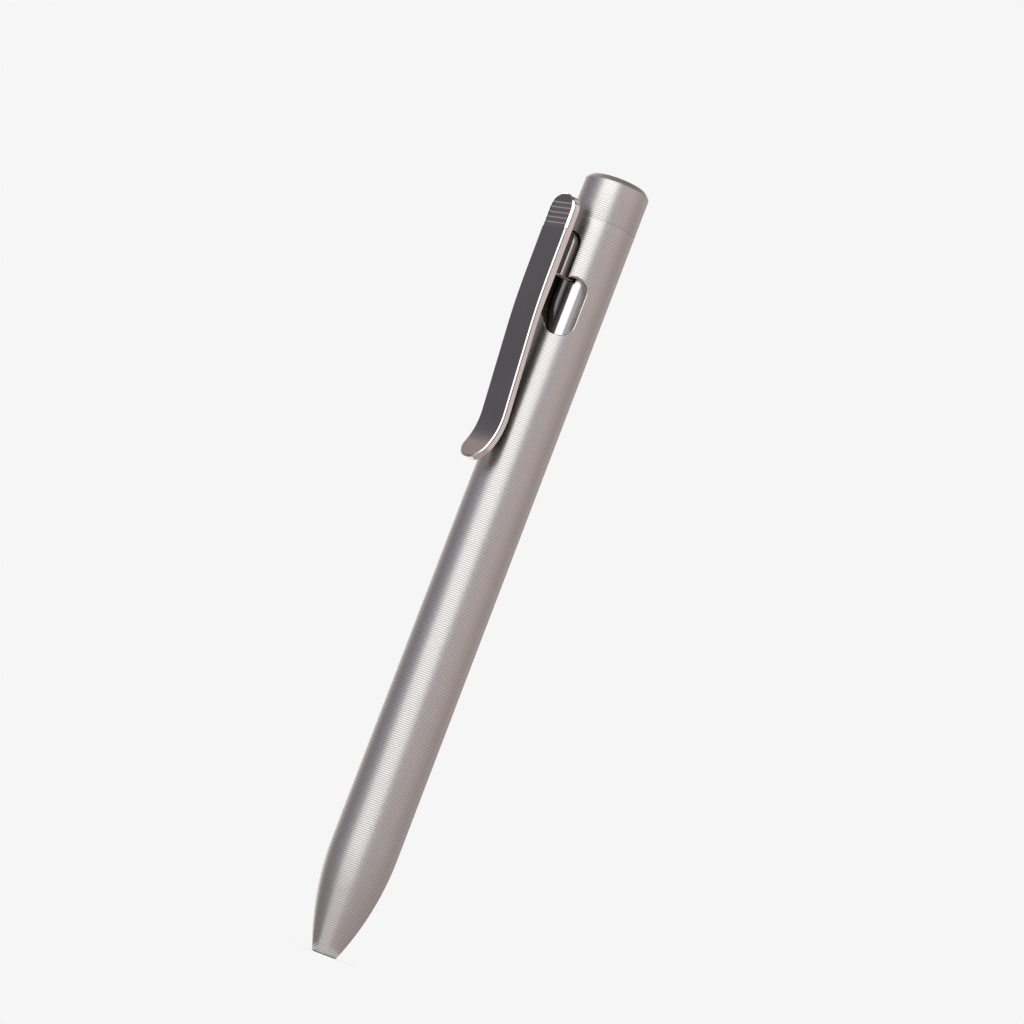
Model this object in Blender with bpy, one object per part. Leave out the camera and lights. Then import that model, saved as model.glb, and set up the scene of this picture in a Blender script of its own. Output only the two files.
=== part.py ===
"""Clip action pen: a turned metal barrel with a hooked track, whose side clip pushes the refill out.

The pen's axis is Z. The end cap's outer face is at z = 0 and the nose points down to -Z.
The clip sits on the -Y side. The track's catch pocket is turned from it towards +X.
A depth is a distance below the cap's face, measured down the axis.
"""

import math

import bmesh
import bpy
from mathutils import Matrix, Vector

MM = 0.001

# Whole pen
OVERALL_LENGTH = 144.0 * MM
BARREL_RADIUS = 6.0 * MM
BARREL_WALL = 2.1 * MM
SEAT_GAP = 0.3 * MM
SEAM_GAP = 0.15 * MM
CUT_OVERRUN = 1.5 * MM
MERGE_DISTANCE = 0.002 * MM

# End cap and the barrel's threaded neck
CAP_LENGTH = 8.35 * MM
CAP_CHAMFER = 1.0 * MM
CAP_ROOF = 2.2 * MM
CAP_WALL = 0.9 * MM
THREAD_CLEARANCE = 0.3 * MM
NECK_TOP_GAP = 0.5 * MM
NECK_CHAMFER = 0.3 * MM
SEAL_WIRE_RADIUS = 0.25 * MM
SEAL_CLEARANCE = 0.08 * MM
SEAL_GROOVE_DEPTH = 0.35 * MM
SEAL_GROOVE_ABOVE_SEAM = 0.25 * MM

# Nose
NOSE_LENGTH = 19.5 * MM
NOSE_END_RADIUS = 2.15 * MM
TIP_HOLE_RADIUS = 1.3 * MM
TIP_HOLE_LENGTH = 6.0 * MM
SPRING_ROOM_RADIUS = 2.5 * MM
SPRING_ROOM_LENGTH = 11.0 * MM

# Plunger
PLUNGER_CLEARANCE = 0.2 * MM
PLUNGER_TOP_DEPTH = 3.3 * MM
PLUNGER_LENGTH = 30.0 * MM
PLUNGER_CHAMFER = 0.3 * MM
PLUNGER_CUP_DEPTH = 4.8 * MM
PLUNGER_OVERTRAVEL = 1.0 * MM
LOCK_SCREW_RADIUS = 1.5 * MM
LOCK_SCREW_LENGTH = 5.0 * MM
LOCK_SCREW_CLEARANCE = 0.25 * MM
LOCK_SCREW_SOCKET_RADIUS = 0.85 * MM
LOCK_SCREW_SOCKET_DEPTH = 2.0 * MM

# Track in the barrel's wall: a straight slot, a ramp and a catch pocket
TRACK_HALF_WIDTH = 2.7 * MM
SLOT_TOP_DEPTH = 11.45 * MM
SLOT_LENGTH = 14.15 * MM
POCKET_TURN = math.radians(40.3)
POCKET_BELOW_SLOT_TOP = 7.8 * MM
RAMP_DROP = 4.4 * MM
RAMP_END_TURN = math.radians(36.5)
RAMP_LEAD_IN = 0.5 * MM

# Post that joins the clip to the plunger through the slot
POST_CLEARANCE = 0.2 * MM
POST_SIDE_LENGTH = 1.25 * MM
POST_BEVEL_DEPTH = 4.5 * MM
POST_ABOVE_BARREL = 1.05 * MM
POST_STUD_RADIUS = 1.4 * MM
POST_STUD_BELOW_ROUND = 1.6 * MM
POST_STUD_PAST_AXIS = 1.3 * MM
POST_RIVET_RADIUS = 1.1 * MM
POST_RIVET_LENGTH = 2.2 * MM

# Clip
CLIP_WIDTH = 6.0 * MM
CLIP_TOP_ABOVE_SLOT = 5.3 * MM
CLIP_ABOVE_BARREL = 3.55 * MM
CLIP_UPPER_LENGTH = 18.85 * MM
CLIP_UPPER_SLOPE = math.radians(0.6)
CLIP_BEND_LENGTH = 6.5 * MM
CLIP_LOWER_SLOPE = math.radians(5.7)
CLIP_LOWER_LENGTH = 15.0 * MM
CLIP_SKI_RADIUS = 12.6 * MM
CLIP_SKI_SLOPE = math.radians(-29.0)
CLIP_TOE_LENGTH = 1.9 * MM
CLIP_UPPER_THICKNESS = 1.95 * MM
CLIP_LOWER_THICKNESS = 1.55 * MM
CLIP_TAPER_START = 14.5 * MM
CLIP_TAPER_LENGTH = 10.5 * MM
CLIP_FACE_CHAMFER = 0.25 * MM
CLIP_BACK_CHAMFER = 0.15 * MM
CLIP_BOSS_INSET = 0.15 * MM
CLIP_BOSS_ROOT = 0.3 * MM
GRIP_GROOVES = 5
GRIP_GROOVE_PITCH = 0.93 * MM
GRIP_GROOVE_WIDTH = 0.6 * MM
GRIP_GROOVE_DEPTH = 0.3 * MM
GRIP_GROOVE_START = 1.6 * MM

# Refill: 110.7 mm long and 6 mm across where the pen has the sizes above
TIP_RECESS = 4.5 * MM
CUP_WALL = 0.45 * MM
REFILL_WALL = 0.5 * MM
REFILL_CLEARANCE = 0.3 * MM
REFILL_CUP_CLEARANCE = 0.25 * MM
INK_CLEARANCE = 0.2 * MM
TAIL_FLANGE_LENGTH = 0.8 * MM
TAIL_SPIGOT_LENGTH = 3.0 * MM
TAIL_VENT_RADIUS = 0.4 * MM
HOLDER_SPIGOT_LENGTH = 4.0 * MM
HOLDER_FLANGE_LENGTH = 1.2 * MM
HOLDER_SHANK_RADIUS = 1.45 * MM
HOLDER_SHANK_LENGTH = 10.0 * MM
HOLDER_BORE_RADIUS = 0.95 * MM
TIP_RADIUS = 1.0 * MM
TIP_STEM_RADIUS = 0.7 * MM
TIP_STEM_LENGTH = 4.5 * MM
TIP_BODY_LENGTH = 7.6 * MM
TIP_CONE_LENGTH = 2.1 * MM
TIP_RIM_RADIUS = 0.48 * MM
TIP_INK_HOLE_RADIUS = 0.3 * MM
BALL_RADIUS = 0.35 * MM
BALL_CLEARANCE = 0.05 * MM
BALL_SHOWS = 0.12 * MM
AIR_LENGTH = 18.6 * MM
FOLLOWER_LENGTH = 4.5 * MM

# Return spring
SPRING_WIRE_RADIUS = 0.22 * MM
SPRING_MEAN_RADIUS = 1.97 * MM
SPRING_TURNS = 16
SPRING_POINTS_A_TURN = 9

# Facet counts
BARREL_SEGMENTS = 56
PLUNGER_SEGMENTS = 40
REFILL_SEGMENTS = 32
TIP_SEGMENTS = 24
ROUND_END_SEGMENTS = 14
NOSE_RINGS = 14
SMOOTH_ANGLE = math.radians(30.0)

# Sizes and places that several pieces share, as radii and as depths below the cap's face
SLOT_BOTTOM_DEPTH = SLOT_TOP_DEPTH + SLOT_LENGTH
POCKET_TOP_DEPTH = SLOT_TOP_DEPTH + POCKET_BELOW_SLOT_TOP
POCKET_BOTTOM_DEPTH = SLOT_BOTTOM_DEPTH + RAMP_DROP
POST_HALF_WIDTH = TRACK_HALF_WIDTH - POST_CLEARANCE
POST_ROUND_DEPTH = SLOT_TOP_DEPTH + SEAT_GAP + POST_HALF_WIDTH
POST_BEVEL_START = POST_ROUND_DEPTH + POST_SIDE_LENGTH
POST_BOTTOM_DEPTH = POST_BEVEL_START + POST_BEVEL_DEPTH
POST_STUD_DEPTH = POST_ROUND_DEPTH + POST_STUD_BELOW_ROUND
POST_OUTER_RADIUS = BARREL_RADIUS + POST_ABOVE_BARREL
TRAVEL = SLOT_BOTTOM_DEPTH - TRACK_HALF_WIDTH - POST_CLEARANCE - POST_BEVEL_START
CLIP_TOP_DEPTH = SLOT_TOP_DEPTH - CLIP_TOP_ABOVE_SLOT
CLIP_TOP_CENTRE_RADIUS = BARREL_RADIUS + CLIP_ABOVE_BARREL
PLUNGER_BORE_RADIUS = BARREL_RADIUS - BARREL_WALL
PLUNGER_RADIUS = PLUNGER_BORE_RADIUS - PLUNGER_CLEARANCE
REFILL_RADIUS = PLUNGER_RADIUS - CUP_WALL - REFILL_CUP_CLEARANCE
PLUNGER_BOTTOM_DEPTH = PLUNGER_TOP_DEPTH + PLUNGER_LENGTH
PLUNGER_BORE_END = PLUNGER_BOTTOM_DEPTH + TRAVEL + PLUNGER_OVERTRAVEL
NECK_TOP_DEPTH = CAP_ROOF + NECK_TOP_GAP
CAP_BORE_RADIUS = BARREL_RADIUS - CAP_WALL
NECK_RADIUS = CAP_BORE_RADIUS - THREAD_CLEARANCE
SEAL_GROOVE_RADIUS = NECK_RADIUS - SEAL_GROOVE_DEPTH
REFILL_TAIL_DEPTH = PLUNGER_BOTTOM_DEPTH - PLUNGER_CUP_DEPTH + SEAT_GAP
REFILL_TIP_DEPTH = OVERALL_LENGTH - TIP_RECESS
TIP_BODY_DEPTH = REFILL_TIP_DEPTH - TIP_CONE_LENGTH - TIP_BODY_LENGTH
HOLDER_END_DEPTH = TIP_BODY_DEPTH - SEAT_GAP
HOLDER_SHOULDER_DEPTH = HOLDER_END_DEPTH - HOLDER_SHANK_LENGTH
HOLDER_FLANGE_DEPTH = HOLDER_SHOULDER_DEPTH - HOLDER_FLANGE_LENGTH
TUBE_FRONT_DEPTH = HOLDER_FLANGE_DEPTH - SEAT_GAP
REFILL_BORE_RADIUS = REFILL_RADIUS + REFILL_CLEARANCE
SPRING_ROOM_END = OVERALL_LENGTH - TIP_HOLE_LENGTH
SPRING_ROOM_START = SPRING_ROOM_END - SPRING_ROOM_LENGTH


def clear_scene():
    """Remove every object, so that the script gives the same model each time."""
    for obj in list(bpy.data.objects):
        bpy.data.objects.remove(obj, do_unlink=True)


def finish(name, colour, roughness, metallic):
    """Make one piece's plain material."""
    made = bpy.data.materials.new(name)
    made.use_nodes = True
    shader = made.node_tree.nodes["Principled BSDF"]
    shader.inputs["Base Color"].default_value = (*colour, 1.0)
    shader.inputs["Roughness"].default_value = roughness
    shader.inputs["Metallic"].default_value = metallic
    return made


def holder(name, parent=None, depth=0.0):
    """Make an empty that carries the pieces which move together."""
    empty = bpy.data.objects.new(name, None)
    empty.location = (0.0, 0.0, -depth)
    empty.empty_display_size = BARREL_RADIUS
    empty.parent = parent
    bpy.context.collection.objects.link(empty)
    return empty


def piece(name, bm, carrier, material=None):
    """Turn a bmesh, modelled in the pen's own frame, into a named object on its carrier."""
    bmesh.ops.remove_doubles(bm, verts=bm.verts, dist=MERGE_DISTANCE)
    bmesh.ops.recalc_face_normals(bm, faces=bm.faces)
    place = carrier.location if carrier else Vector()
    bm.transform(Matrix.Translation(-place))
    mesh = bpy.data.meshes.new(name)
    bm.to_mesh(mesh)
    bm.free()
    obj = bpy.data.objects.new(name, mesh)
    obj.parent = carrier
    bpy.context.collection.objects.link(obj)
    mesh.shade_smooth()
    mesh.set_sharp_from_angle(angle=SMOOTH_ANGLE)
    if material:
        mesh.materials.append(material)
    return obj


def cutter(name, bm, carrier):
    """Make a hidden tool for a Boolean cut."""
    tool = piece(name, bm, carrier)
    tool.display_type = "WIRE"
    tool.hide_render = True
    return tool


def cut(obj, tool):
    """Take the tool's shape out of an object."""
    change = obj.modifiers.new(tool.name, "BOOLEAN")
    change.operation = "DIFFERENCE"
    change.solver = "EXACT"
    change.object = tool


def turned(profile, segments):
    """Spin a closed profile of (radius, depth) points about the pen's axis."""
    bm = bmesh.new()
    verts = [bm.verts.new((radius, 0.0, -depth)) for radius, depth in profile]
    edges = [bm.edges.new((a, b)) for a, b in zip(verts, verts[1:] + verts[:1])]
    bmesh.ops.spin(
        bm,
        geom=verts + edges,
        cent=(0.0, 0.0, 0.0),
        axis=(0.0, 0.0, 1.0),
        angle=math.tau,
        steps=segments,
        use_merge=True,
        use_duplicate=False,
    )
    return bm


def capped_loops(loops, cap_faces=None):
    """Bridge equal closed loops of points into one skin and cap its two ends."""
    bm = bmesh.new()
    rows = [[bm.verts.new(point) for point in loop] for loop in loops]
    for low, high in zip(rows, rows[1:]):
        count = len(low)
        for i in range(count):
            j = (i + 1) % count
            bm.faces.new((low[i], low[j], high[j], high[i]))
    for row in (rows[0], rows[-1]):
        if cap_faces:
            for corners in cap_faces(len(row)):
                bm.faces.new([row[k] for k in corners])
        else:
            bm.faces.new(row)
    return bm


def paired_strips(count):
    """Faces that join a loop's two mirrored halves, point by point, from one end to the other."""
    strips = []
    last = count - 1
    for k in range(count // 2 - 1):
        corners = [k, k + 1, last - k - 1, last - k]
        strips.append(corners)
    return strips


def round_bar(axis, start, end, radius, segments, centre):
    """A straight round bar along a unit axis, from one distance to another, through a centre."""
    bm = bmesh.new()
    bmesh.ops.create_cone(
        bm, cap_ends=True, segments=segments, radius1=radius, radius2=radius, depth=end - start
    )
    turn = Vector((0.0, 0.0, 1.0)).rotation_difference(Vector(axis)).to_matrix().to_4x4()
    middle = Vector(centre) + Vector(axis) * (start + end) / 2.0
    bm.transform(Matrix.Translation(middle) @ turn)
    return bm


def round_top(half_width, round_depth):
    """Points (across, depth) of a half round about a depth, from its right side to its left."""
    points = []
    for i in range(ROUND_END_SEGMENTS + 1):
        angle = math.pi * i / ROUND_END_SEGMENTS
        points.append((half_width * math.cos(angle), round_depth - half_width * math.sin(angle)))
    return points


def track_outline(half_width, top_depth, bottom_depth):
    """Points (across, depth) of an upright slot with two full-round ends."""
    points = round_top(half_width, top_depth + half_width)
    low = bottom_depth - half_width
    for i in range(ROUND_END_SEGMENTS + 1):
        angle = math.pi * i / ROUND_END_SEGMENTS
        points.append((-half_width * math.cos(angle), low + half_width * math.sin(angle)))
    return points


def ramp_fall():
    """The angle at which the ramp falls, measured round the barrel's outside."""
    return math.atan2(RAMP_DROP, BARREL_RADIUS * RAMP_END_TURN)


def post_outline(inset):
    """Points (across, depth) of the post: a round top, a flat underside and a bevel for the ramp.

    The bevel is the ramp's own wall moved up by the pen's travel, so that the pressed post
    meets the ramp along its whole length.
    """
    half = POST_HALF_WIDTH - inset
    bottom = POST_BOTTOM_DEPTH - inset
    points = round_top(half, POST_ROUND_DEPTH)
    fall = ramp_fall()
    steps = ROUND_END_SEGMENTS // 2
    for i in range(steps + 1):
        angle = (math.pi / 2.0 - fall) * i / steps
        points.append((-half * math.cos(angle), POST_BEVEL_START + half * math.sin(angle)))
    across, depth = points[-1]
    points.append((across + (bottom - depth) / math.tan(fall), bottom))
    points.append((half, bottom))
    return points


def radial_prism(outline, inner, outer, turn=0.0):
    """Extrude an (across, depth) outline along a radius, between two distances from the axis."""
    spin = Matrix.Rotation(turn, 4, "Z")
    loops = [[spin @ Vector((x, -reach, -depth)) for x, depth in outline] for reach in (inner, outer)]
    return capped_loops(loops)


def nose_profile():
    """Points (radius, depth) of the nose: an arc that leaves the barrel without a step."""
    drop = BARREL_RADIUS - NOSE_END_RADIUS
    arc_radius = (NOSE_LENGTH**2 + drop**2) / (2.0 * drop)
    points = []
    for i in range(NOSE_RINGS + 1):
        along = NOSE_LENGTH * i / NOSE_RINGS
        radius = BARREL_RADIUS - arc_radius + math.sqrt(arc_radius**2 - along**2)
        points.append((radius, OVERALL_LENGTH - NOSE_LENGTH + along))
    return points


def ramp_cutter():
    """The tool for the ramp that leads the post from the slot into the catch pocket.

    Each wall point comes from a round mill of the track's width, whose axis always points
    at the pen's axis: the mill is turned to an angle, and the wall lies across from it.
    """
    mill = TRACK_HALF_WIDTH
    floor_depth = POCKET_BOTTOM_DEPTH - mill
    start_depth = SLOT_BOTTOM_DEPTH - mill
    fall = ramp_fall()
    steps = ROUND_END_SEGMENTS
    stations = []
    for i in range(steps + 1):
        turn = RAMP_END_TURN * i / steps
        centre = start_depth + (floor_depth - start_depth) * i / steps
        stations.append((turn, -mill * math.sin(fall), centre + mill * math.cos(fall)))
    half_steps = steps // 2
    for i in range(1, half_steps + 1):
        lean = fall * (1.0 - i / half_steps)
        stations.append((RAMP_END_TURN, -mill * math.sin(lean), floor_depth + mill * math.cos(lean)))
    stations.append((POCKET_TURN, 0.0, floor_depth + mill))
    loops = []
    for reach in (PLUNGER_RADIUS - CUT_OVERRUN, BARREL_RADIUS + CUT_OVERRUN):
        roof = []
        ramp = []
        for turn, across, depth in stations:
            spin = Matrix.Rotation(turn, 4, "Z")
            roof.append(spin @ Vector((across, -reach, -(start_depth - RAMP_LEAD_IN))))
            ramp.append(spin @ Vector((across, -reach, -depth)))
        loops.append(roof + ramp[::-1])
    return capped_loops(loops, paired_strips)


def make_barrel(carrier, metal):
    """The one-piece barrel: threaded neck, bores, nose and the track for the clip's post."""
    seam = CAP_LENGTH
    groove_low = seam - SEAL_GROOVE_ABOVE_SEAM
    groove_high = groove_low - 2.0 * (SEAL_WIRE_RADIUS + SEAL_CLEARANCE)
    profile = [
        (PLUNGER_BORE_RADIUS, NECK_TOP_DEPTH),
        (NECK_RADIUS - NECK_CHAMFER, NECK_TOP_DEPTH),
        (NECK_RADIUS, NECK_TOP_DEPTH + NECK_CHAMFER),
        (NECK_RADIUS, groove_high),
        (SEAL_GROOVE_RADIUS, groove_high),
        (SEAL_GROOVE_RADIUS, groove_low),
        (NECK_RADIUS, groove_low),
        (NECK_RADIUS, seam),
        (BARREL_RADIUS, seam),
    ]
    profile += nose_profile()
    profile += [
        (TIP_HOLE_RADIUS, OVERALL_LENGTH),
        (TIP_HOLE_RADIUS, SPRING_ROOM_END),
        (SPRING_ROOM_RADIUS, SPRING_ROOM_END),
        (SPRING_ROOM_RADIUS, SPRING_ROOM_START),
        (REFILL_BORE_RADIUS, SPRING_ROOM_START),
        (REFILL_BORE_RADIUS, PLUNGER_BORE_END),
        (PLUNGER_BORE_RADIUS, PLUNGER_BORE_END),
    ]
    barrel = piece("barrel", turned(profile, BARREL_SEGMENTS), carrier, metal)
    inner = PLUNGER_RADIUS - CUT_OVERRUN
    outer = BARREL_RADIUS + CUT_OVERRUN
    slot = track_outline(TRACK_HALF_WIDTH, SLOT_TOP_DEPTH, SLOT_BOTTOM_DEPTH)
    pocket = track_outline(TRACK_HALF_WIDTH, POCKET_TOP_DEPTH, POCKET_BOTTOM_DEPTH)
    cut(barrel, cutter("slot_cutter", radial_prism(slot, inner, outer), carrier))
    cut(barrel, cutter("pocket_cutter", radial_prism(pocket, inner, outer, POCKET_TURN), carrier))
    cut(barrel, cutter("ramp_cutter", ramp_cutter(), carrier))
    return barrel


def make_end_cap(carrier, metal):
    """The screwed end cap, with a broad chamfer round its flat face."""
    profile = [
        (0.0, 0.0),
        (BARREL_RADIUS - CAP_CHAMFER, 0.0),
        (BARREL_RADIUS, CAP_CHAMFER),
        (BARREL_RADIUS, CAP_LENGTH - SEAM_GAP),
        (CAP_BORE_RADIUS, CAP_LENGTH - SEAM_GAP),
        (CAP_BORE_RADIUS, CAP_ROOF),
        (0.0, CAP_ROOF),
    ]
    return piece("end_cap", turned(profile, BARREL_SEGMENTS), carrier, metal)


def make_seal(carrier, rubber):
    """The O-ring in the neck's groove, which keeps the cap from working loose."""
    centre_radius = SEAL_GROOVE_RADIUS + SEAL_CLEARANCE + SEAL_WIRE_RADIUS
    centre_depth = CAP_LENGTH - SEAL_GROOVE_ABOVE_SEAM - SEAL_CLEARANCE - SEAL_WIRE_RADIUS
    sides = 8
    profile = []
    for i in range(sides):
        angle = math.tau * i / sides
        radius = centre_radius + SEAL_WIRE_RADIUS * math.cos(angle)
        profile.append((radius, centre_depth + SEAL_WIRE_RADIUS * math.sin(angle)))
    return piece("cap_o_ring", turned(profile, REFILL_SEGMENTS), carrier, rubber)


def make_plunger(carrier, metal):
    """The polished plunger: screw bore at the top, cross hole for the stud, cup for the refill."""
    cup_radius = REFILL_RADIUS + REFILL_CUP_CLEARANCE
    screw_bore = LOCK_SCREW_RADIUS + LOCK_SCREW_CLEARANCE
    cup_top = PLUNGER_BOTTOM_DEPTH - PLUNGER_CUP_DEPTH
    profile = [
        (0.0, POST_STUD_DEPTH),
        (screw_bore, POST_STUD_DEPTH),
        (screw_bore, PLUNGER_TOP_DEPTH),
        (PLUNGER_RADIUS - PLUNGER_CHAMFER, PLUNGER_TOP_DEPTH),
        (PLUNGER_RADIUS, PLUNGER_TOP_DEPTH + PLUNGER_CHAMFER),
        (PLUNGER_RADIUS, PLUNGER_BOTTOM_DEPTH - PLUNGER_CHAMFER),
        (PLUNGER_RADIUS - PLUNGER_CHAMFER, PLUNGER_BOTTOM_DEPTH),
        (cup_radius, PLUNGER_BOTTOM_DEPTH),
        (cup_radius, cup_top),
        (0.0, cup_top),
    ]
    plunger = piece("plunger", turned(profile, PLUNGER_SEGMENTS), carrier, metal)
    hole = round_bar(
        (0.0, -1.0, 0.0),
        -POST_STUD_PAST_AXIS - SEAT_GAP,
        PLUNGER_RADIUS + CUT_OVERRUN,
        POST_STUD_RADIUS + SEAT_GAP,
        TIP_SEGMENTS,
        (0.0, 0.0, -POST_STUD_DEPTH),
    )
    cut(plunger, cutter("stud_hole_cutter", hole, carrier))
    return plunger


def make_lock_screw(carrier, metal):
    """The grub screw down the plunger's axis, which clamps the post's stud."""
    bottom = POST_STUD_DEPTH - POST_STUD_RADIUS - SEAT_GAP
    top = bottom - LOCK_SCREW_LENGTH
    profile = [
        (0.0, top),
        (LOCK_SCREW_RADIUS, top),
        (LOCK_SCREW_RADIUS, bottom - SEAT_GAP),
        (LOCK_SCREW_RADIUS - SEAT_GAP, bottom),
        (0.0, bottom),
    ]
    screw = piece("lock_screw", turned(profile, TIP_SEGMENTS), carrier, metal)
    socket = round_bar(
        (0.0, 0.0, 1.0),
        -LOCK_SCREW_SOCKET_DEPTH,
        CUT_OVERRUN,
        LOCK_SCREW_SOCKET_RADIUS,
        6,
        (0.0, 0.0, -top),
    )
    cut(screw, cutter("screw_socket_cutter", socket, carrier))
    return screw


def make_post(carrier, metal):
    """The post in the slot: a block with a round top, a stud into the plunger and a rivet outwards."""
    inner = PLUNGER_RADIUS + SEAT_GAP
    block = radial_prism(post_outline(0.0), inner, POST_OUTER_RADIUS)
    post = piece("clip_post", block, carrier, metal)
    centre = (0.0, 0.0, -POST_STUD_DEPTH)
    stud = round_bar(
        (0.0, -1.0, 0.0), -POST_STUD_PAST_AXIS, inner + SEAT_GAP, POST_STUD_RADIUS, TIP_SEGMENTS, centre
    )
    rivet = round_bar(
        (0.0, -1.0, 0.0),
        POST_OUTER_RADIUS - SEAT_GAP,
        POST_OUTER_RADIUS + POST_RIVET_LENGTH,
        POST_RIVET_RADIUS,
        TIP_SEGMENTS,
        centre,
    )
    for name, shape in (("stud", stud), ("rivet", rivet)):
        join = post.modifiers.new(name, "BOOLEAN")
        join.operation = "UNION"
        join.solver = "EXACT"
        join.object = cutter(name + "_shape", shape, carrier)
    return post


def clip_stretches():
    """The clip's side view as (length, first slope, last slope), sloping towards the barrel."""
    ski_length = CLIP_SKI_RADIUS * (CLIP_LOWER_SLOPE - CLIP_SKI_SLOPE)
    return [
        (CLIP_UPPER_LENGTH, CLIP_UPPER_SLOPE, CLIP_UPPER_SLOPE),
        (CLIP_BEND_LENGTH, CLIP_UPPER_SLOPE, CLIP_LOWER_SLOPE),
        (CLIP_LOWER_LENGTH, CLIP_LOWER_SLOPE, CLIP_LOWER_SLOPE),
        (ski_length, CLIP_LOWER_SLOPE, CLIP_SKI_SLOPE),
        (CLIP_TOE_LENGTH, CLIP_SKI_SLOPE, CLIP_SKI_SLOPE),
    ]


def clip_station(along):
    """Depth, radius and slope of the clip's middle line at a distance along it."""
    depth = CLIP_TOP_DEPTH
    radius = CLIP_TOP_CENTRE_RADIUS
    left = along
    slope = CLIP_UPPER_SLOPE
    for length, first, last in clip_stretches():
        run = min(left, length)
        bend = (last - first) / length
        slope = first + bend * run
        if bend:
            depth += (math.sin(slope) - math.sin(first)) / bend
            radius += (math.cos(slope) - math.cos(first)) / bend
        else:
            depth += run * math.cos(slope)
            radius -= run * math.sin(slope)
        left -= run
        if left <= 0.0:
            break
    return depth, radius, slope


def clip_length():
    """The whole length along the clip's middle line."""
    return sum(length for length, first, last in clip_stretches())


def clip_thickness(along):
    """The clip is thick where the post carries it and thins towards its free end."""
    share = min(1.0, max(0.0, (along - CLIP_TAPER_START) / CLIP_TAPER_LENGTH))
    smooth = share * share * (3.0 - 2.0 * share)
    return CLIP_UPPER_THICKNESS + (CLIP_LOWER_THICKNESS - CLIP_UPPER_THICKNESS) * smooth


def clip_point(along, across, level):
    """A point of the clip. Level runs from 0 on its back to 1 on its face, as (share, inset)."""
    share, inset = level
    depth, radius, slope = clip_station(along)
    rise = (share - 0.5) * clip_thickness(along) + inset
    return Vector((across, -(radius + rise * math.cos(slope)), -(depth + rise * math.sin(slope))))


def clip_stations():
    """Distances along the clip: close together in the round ends, the bends and the ski curve."""
    end = CLIP_WIDTH / 2.0
    total = clip_length()
    stations = [end * (1.0 - math.cos(math.pi / 2.0 * i / 8)) for i in range(9)]
    middle_start = CLIP_TAPER_START
    stations += [middle_start + CLIP_TAPER_LENGTH * i / 6 for i in range(7)]
    ski_start = CLIP_UPPER_LENGTH + CLIP_BEND_LENGTH + CLIP_LOWER_LENGTH
    last = total - end
    stations += [ski_start + (last - ski_start) * i / 8 for i in range(8)]
    stations += [total - end * (1.0 - math.cos(math.pi / 2.0 * i / 8)) for i in range(8, -1, -1)]
    return stations


def clip_outline(inset):
    """Half of the clip's full-round plan as (along, half width), drawn in by an inset."""
    end = CLIP_WIDTH / 2.0
    total = clip_length()
    shrink = (end - inset) / end
    outline = []
    for along in clip_stations():
        if along < end:
            reach = end - along
        elif along > total - end:
            reach = along - (total - end)
        else:
            reach = 0.0
        half = math.sqrt(max(0.0, end * end - reach * reach)) * shrink
        if along < end:
            along = end - reach * shrink
        elif along > total - end:
            along = total - end + reach * shrink
        outline.append((along, half))
    return outline


def make_clip(carrier, metal):
    """The clip: a chamfered bar with round ends, grip grooves at the top and a ski at the foot."""
    levels = [
        ((0.0, 0.0), CLIP_BACK_CHAMFER),
        ((0.0, CLIP_BACK_CHAMFER), 0.0),
        ((1.0, -CLIP_FACE_CHAMFER), 0.0),
        ((1.0, 0.0), CLIP_FACE_CHAMFER),
    ]
    loops = []
    for level, inset in levels:
        outline = clip_outline(inset)
        right = [clip_point(along, half, level) for along, half in outline]
        left = [clip_point(along, -half, level) for along, half in outline]
        loops.append(right + left[::-1])
    clip = piece("clip", capped_loops(loops, paired_strips), carrier, metal)

    root = CLIP_TOP_CENTRE_RADIUS - CLIP_UPPER_THICKNESS / 2.0 + CLIP_BOSS_ROOT
    boss = radial_prism(post_outline(CLIP_BOSS_INSET), POST_OUTER_RADIUS + SEAM_GAP, root)
    join = clip.modifiers.new("boss", "BOOLEAN")
    join.operation = "UNION"
    join.solver = "EXACT"
    join.object = cutter("boss_shape", boss, carrier)

    socket = round_bar(
        (0.0, -1.0, 0.0),
        POST_OUTER_RADIUS - CUT_OVERRUN,
        POST_OUTER_RADIUS + POST_RIVET_LENGTH + SEAT_GAP,
        POST_RIVET_RADIUS + SEAT_GAP,
        TIP_SEGMENTS,
        (0.0, 0.0, -POST_STUD_DEPTH),
    )
    cut(clip, cutter("rivet_hole_cutter", socket, carrier))
    for i in range(GRIP_GROOVES):
        along = GRIP_GROOVE_START + i * GRIP_GROOVE_PITCH
        half = GRIP_GROOVE_WIDTH / 2.0
        section = [
            clip_point(along - 2.0 * half, 0.0, (1.0, GRIP_GROOVE_DEPTH)),
            clip_point(along + 2.0 * half, 0.0, (1.0, GRIP_GROOVE_DEPTH)),
            clip_point(along, 0.0, (1.0, -GRIP_GROOVE_DEPTH)),
        ]
        reach = Vector((CLIP_WIDTH, 0.0, 0.0))
        groove = capped_loops([[p - reach for p in section], [p + reach for p in section]])
        cut(clip, cutter("grip_groove_cutter_%d" % (i + 1), groove, carrier))
    return clip


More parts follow.
